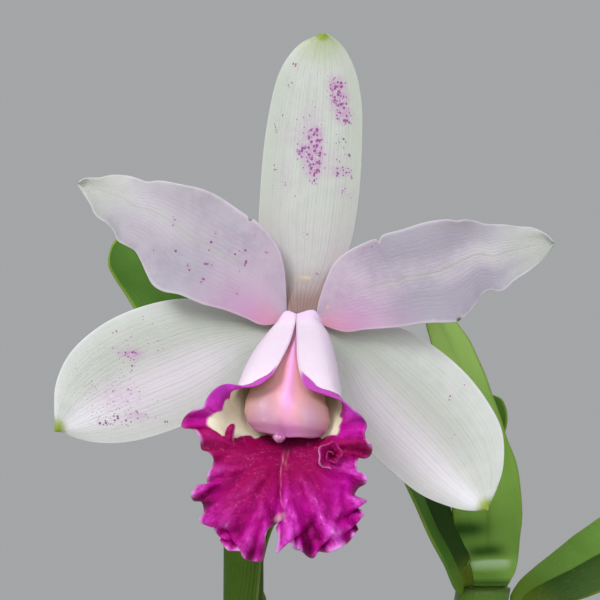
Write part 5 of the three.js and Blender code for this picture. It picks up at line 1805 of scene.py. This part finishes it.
# Bark medium. Sizes of the solids' chips are [least, how much more], and of the small ones a range.
BASE_BARK = {"above_floor": 0.3, "below_level": 3.0, "below_dome": 1.6, "tone": 0.12, "sides": 64}
CHIPS = {"length": (13, 6), "width": (9, 5), "height": (5.4, 2.6), "taper": (0.62, 0.3), "tilt": 0.5}
SMALL_CHIPS = {
    "count": 230,
    "seed": 17,
    "first_turn": 0.7,
    "length": (6, 12),
    "width": (4, 8),
    "height": (3, 5),
    "taper": (0.5, 0.95),
    "sunk": (-2.4, 1.0),
    "edge_room": 0.5,
}
CHIP_BOXINESS = 0.42


def pot_radius_inside(z):
    share = min(z / (POT["height"] - POT["rim_height"]), 1)
    outside = POT["foot_radius"] + (POT["top_radius"] - POT["rim_step"] - POT["foot_radius"]) * share
    return outside - POT["wall"]


def chip_form(size, taper, draw, steps=9, sides=16):
    """A broken slab of bark: a rounded box with uneven faces, thinner towards one end"""
    polar, angle = crossed(np.pi * np.linspace(0.03, 0.97, steps + 1), around(sides))
    span = squared(np.sin(polar), CHIP_BOXINESS)
    x = squared(np.cos(polar), CHIP_BOXINESS)
    y = span * squared(np.cos(angle), CHIP_BOXINESS)
    z = span * squared(np.sin(angle), CHIP_BOXINESS)
    points = np.stack([x, y, z], axis=-1) * np.array(size) / 2
    points[..., 1] *= np.where(x > 0, 1 - (1 - taper) * x, 1)
    phase = draw.uniform(0, 6.28, 6)
    wobble = np.sin(2.7 * x + 3.1 * y + phase[0]) + np.sin(4.3 * y - 2.9 * z + phase[1])
    wobble = wobble + np.sin(5.1 * z + 3.7 * x + phase[2])
    return points + 0.05 * min(size[:2]) * wobble[..., None] * unit(points)


def rotation(x, y, z):
    """Turns about X, then Y, then Z"""
    (cx, sx), (cy, sy), (cz, sz) = ((math.cos(a), math.sin(a)) for a in (x, y, z))
    about_x = np.array([[1, 0, 0], [0, cx, -sx], [0, sx, cx]])
    about_y = np.array([[cy, 0, sy], [0, 1, 0], [-sy, 0, cy]])
    about_z = np.array([[cz, -sz, 0], [sz, cz, 0], [0, 0, 1]])
    return about_z @ about_y @ about_x


def bark(look):
    """A filling with the solids' chips in its top, and smaller ones between them"""
    low = POT["floor"] + BASE_BARK["above_floor"]
    band_foot = POT["height"] - POT["rim_height"]
    reach = pot_radius_inside(BARK["level"]) - BARK_GAP
    under_dome = BARK["level"] - BASE_BARK["below_dome"]
    profile = [
        [0.5, low],
        [pot_radius_inside(low) - BARK_GAP, low],
        [pot_radius_inside(band_foot) - BARK_GAP, band_foot],
        [reach, BARK["level"] - BASE_BARK["below_level"]],
        [reach * 0.6, under_dome + BARK["dome"] * 0.6],
        [0.5, under_dome + BARK["dome"]],
    ]
    rings = turned_rings(profile, BASE_BARK["sides"])
    parts = [loft(rings, {"place": rings, "tone": BASE_BARK["tone"]})]
    draw = draws(BARK["seed"])
    shape = np.random.default_rng(SMALL_CHIPS["seed"])

    def add(size, taper, turns, radius, angle, lift):
        form = chip_form(size, taper, shape)
        tone = float(np.clip(shape.normal(0.5, 0.28), 0, 1))
        masks = {"place": form + shape.uniform(-90, 90, 3), "tone": tone}
        level = BARK["level"] + BARK["dome"] * (1 - (radius / reach) ** 2) + lift
        place = [radius * math.cos(angle), radius * math.sin(angle), level]
        parts.append(loft(form @ rotation(*turns).T + place, masks))

    for i in range(BARK["chips"]):
        radius = (reach - BARK["edge_room"]) * math.sqrt((i + 0.5) / BARK["chips"])
        sides = (CHIPS[side] for side in ("length", "width", "height", "taper"))
        *size, taper = [least + more * next(draw) for least, more in sides]
        turns = [CHIPS["tilt"] * (next(draw) - 0.5) for _ in range(2)] + [2 * math.pi * next(draw)]
        add(size, taper, turns, radius, i * GOLDEN_ANGLE, 1.6 * next(draw) - 0.6)
    count = SMALL_CHIPS["count"]
    for i in range(count):
        size = [shape.uniform(*SMALL_CHIPS[side]) for side in ("length", "width", "height")]
        radius = (reach - 0.5 * size[0] - SMALL_CHIPS["edge_room"]) * math.sqrt((i + 0.5) / count)
        turns = [shape.uniform(-0.6, 0.6), shape.uniform(-0.5, 0.5), shape.uniform(0, 2 * math.pi)]
        lift = shape.uniform(*SMALL_CHIPS["sunk"])
        angle = i * GOLDEN_ANGLE + SMALL_CHIPS["first_turn"]
        add(size, shape.uniform(*SMALL_CHIPS["taper"]), turns, radius, angle, lift)
    return piece("bark_chips", merged(parts), look, ["bark_medium"])


# Pot
POT_SIDES = 160
POT_ROUNDING = 1.6
POT_LONGEST_STEP = 4.0
THROWING_MARKS = 0.18


def rounded(profile, radius, steps=5):
    """A profile with each inner corner turned into a curve that starts radius away from it"""
    profile = np.array(profile, float)
    made = [profile[0]]
    for before, corner, after in zip(profile[:-2], profile[1:-1], profile[2:]):
        away = [np.linalg.norm(end - corner) for end in (before, after)]
        cut = min(radius, 0.45 * min(away))
        start = corner + (before - corner) * cut / away[0]
        end = corner + (after - corner) * cut / away[1]
        for share in shares(steps):
            made.append((1 - share) ** 2 * start + 2 * share * (1 - share) * corner + share**2 * end)
    return np.array([*made, profile[-1]])


def split_long(profile, longest):
    """The profile with more points on its long straight stretches"""
    made = [profile[0]]
    for start, end in zip(profile[:-1], profile[1:]):
        count = max(int(math.ceil(np.linalg.norm(end - start) / longest)), 1)
        made += [start + (end - start) * k / count for k in range(1, count + 1)]
    return np.array(made)


def pot_profile():
    """From the middle of the underside round the outside and the rim to the middle of the floor, as
    [radius, height]"""
    band_foot = POT["height"] - POT["rim_height"]
    inside_top = pot_radius_inside(band_foot)
    foot, top, height, floor_level = POT["foot_radius"], POT["top_radius"], POT["height"], POT["floor"]
    return [
        [0.6, 0], [foot - 1.5, 0], [foot, 1.5], [top - POT["rim_step"], band_foot],
        [top - 0.6, band_foot + 0.8], [top, band_foot + 2.5], [top, height - 2], [top - 1.6, height],
        [inside_top + 1.6, height], [inside_top, height - 1.6], [inside_top, band_foot],
        [pot_radius_inside(floor_level), floor_level], [0.6, floor_level],
    ]


def pot(look):
    profile = split_long(rounded(pot_profile(), POT_ROUNDING), POT_LONGEST_STEP)
    rings = turned_rings(profile, POT_SIDES)
    angle = around(POT_SIDES)
    height, radius = rings[..., 2], np.hypot(rings[..., 0], rings[..., 1])
    uneven = THROWING_MARKS * ripple(height / 16 + 0.8 * np.sin(angle) + 0.5 * np.cos(2 * angle), 71)
    uneven *= smooth(3, 12, height) * smooth(20, 44, radius)
    rings[..., :2] *= (1 - np.abs(uneven) / radius)[..., None]
    inside = np.zeros(rings.shape[:2])
    inside[len(profile) - np.argmax(profile[::-1, 1]):] = 1
    shape = loft(rings, {"height": height / POT["height"], "inside": inside})
    made = piece("terracotta_pot", shape, look, ["pot"])
    for i in range(POT["holes"]):
        angle = 2 * math.pi * i / POT["holes"]
        x, y = POT["hole_circle"] * math.cos(angle), POT["hole_circle"] * math.sin(angle)
        drill(made, np.array([x, y, POT["floor"] / 2]) * MM, POT["hole_radius"] * MM, (POT["floor"] + 4) * MM)
    return made


def drill(body, place, radius, depth):
    """Cuts an upright round hole in body"""
    rings = turned_rings([[radius, -depth / 2], [radius, depth / 2]], 28) + place
    points, faces, _ = loft(rings, {})
    cutter = mesh_object("drill", points, faces)
    cut = body.modifiers.new("hole", "BOOLEAN")
    cut.operation = "DIFFERENCE"
    cut.object = cutter
    bpy.context.view_layer.update()
    result = bpy.data.meshes.new_from_object(body.evaluated_get(bpy.context.evaluated_depsgraph_get()))
    body.modifiers.clear()
    body.data = result
    bpy.data.objects.remove(cutter)


# Assembly
left_sepal_masks = lateral_masks(
    LEFT_SEPAL_SPOTS, LEFT_SEPAL_SPECKLE, tip_place=(-56.6, -25.6), lit_t=0.25, shade_t=-0.45
)
right_sepal_masks = lateral_masks(RIGHT_SEPAL_SPOTS, [], tip_place=(43.4, -44), lit_t=0.45, shade_t=-0.15)
left_petal_masks = petal_masks(
    LEFT_PETAL_SPOTS, rib_t=-0.1, flecks=[], bruises=[(-11.5, 22.9, 0.6)], dusk=0.1
)
right_petal_masks = petal_masks(
    RIGHT_PETAL_SPOTS,
    rib_t=0.0,
    flecks=[(6.4, 2.6, 0.6), (31, -0.4, 0.4)],
    bruises=[(36.9, -0.5, 0.9)],
    dusk=1.1,
)
sepals = {
    "dorsal_sepal": ((DORSAL_LEFT, DORSAL_RIGHT), dorsal_depth, dorsal_masks, 60),
    "lateral_sepal_left": ((LEFT_SEPAL_UPPER, LEFT_SEPAL_LOWER), lateral_depth, left_sepal_masks, 64),
    "lateral_sepal_right": ((RIGHT_SEPAL_UPPER, RIGHT_SEPAL_LOWER), lateral_depth, right_sepal_masks, 64),
}
petals = {
    "petal_left": ((LEFT_PETAL_UPPER, LEFT_PETAL_LOWER), petal_depth(3), left_petal_masks, 64),
    "petal_right": ((RIGHT_PETAL_UPPER, RIGHT_PETAL_LOWER), petal_depth(8), right_petal_masks, 64),
}
sepal_skin = sepal_look()
for sepal_name, sepal_parts in sepals.items():
    tepal(sepal_name, *sepal_parts, SEPAL_ROWS, sepal_skin, "sepals")
petal_skin = petal_look()
for petal_name, petal_parts in petals.items():
    tepal(petal_name, *petal_parts, PETAL_ROWS, petal_skin, "petals")
lip(lip_look())
column(column_look())
anther(anther_look())
stalk(stalk_look())
spathe(spathe_look())
cane_skin = cane_look()
for bulb_name, bulb_spec in BULBS.items():
    cane(bulb_name, bulb_spec, cane_skin)
leaf_skin = leaf_look()
for leaf_name, leaf_spec in LEAVES.items():
    leaf(leaf_name, leaf_spec, leaf_skin)
rhizome(root_look())
bark(bark_look())
pot(terracotta_look())


# Floor, light and camera. Their sizes and places are in metres.
FLOOR_RADII = [0.02, 0.5, 1.2, 2.4]
FLOOR_SIDES = 96
LIGHTS = {
    "key_light": {"place": (-0.7, -1.05, 1.3), "size": 0.6, "power": 13, "color": (1.0, 0.99, 0.97)},
    "fill_light": {"place": (0.35, -1.4, 1.0), "size": 0.8, "power": 6, "color": (0.97, 0.98, 1.0)},
    "rim_light": {"place": (0.5, 1.0, 1.3), "size": 0.9, "power": 5, "color": (1.0, 1.0, 1.0)},
}
WORLD_STRENGTH = 0.85
SENSOR_WIDTH = 36.0


def floor():
    rings = turned_rings([[radius, 0] for radius in FLOOR_RADII], FLOOR_SIDES)
    index, _, faces = ring_walls(len(FLOOR_RADII), FLOOR_SIDES)
    made = mesh_object("studio_floor", rings.reshape(-1, 3), [*faces, index[0].tolist()])
    look = Look("floor_paint", roughness=0.7, specular=0.2)
    look.set("Base Color", look.blend(look.noise(look.space(), 0.004, 3), (214, 212, 206), (224, 222, 217)))
    made.data.materials.append(look.material)


def area_light(name, place, size, power, color):
    light = bpy.data.lights.new(name, "AREA")
    light.shape = "DISK"
    light.size = size
    light.energy = power
    light.color = color
    made = bpy.data.objects.new(name, light)
    made.location = place
    made.rotation_euler = (Vector(BLOOM * MM) - Vector(place)).to_track_quat("-Z", "Y").to_euler()
    bpy.context.scene.collection.objects.link(made)


def world():
    made = bpy.data.worlds.new("studio")
    made.use_nodes = True
    background = made.node_tree.nodes["Background"]
    background.inputs["Color"].default_value = rgb(176, 178, 180)
    background.inputs["Strength"].default_value = WORLD_STRENGTH
    bpy.context.scene.world = made


def camera():
    data = bpy.data.cameras.new("camera")
    data.sensor_width = SENSOR_WIDTH
    data.lens = SENSOR_WIDTH * EYE_DISTANCE / FRAME_WIDTH
    data.clip_start = 0.05
    data.clip_end = 20.0
    made = bpy.data.objects.new("camera", data)
    made.location = (BLOOM[0] * MM, (BLOOM[1] - EYE_DISTANCE) * MM, (BLOOM[2] + EYE_RISE) * MM)
    made.rotation_euler = (math.pi / 2, 0, 0)
    bpy.context.scene.collection.objects.link(made)
    bpy.context.scene.camera = made


floor()
for light_name, light_spec in LIGHTS.items():
    area_light(light_name, **light_spec)
world()
bpy.context.scene.view_settings.view_transform = "Standard"
camera()
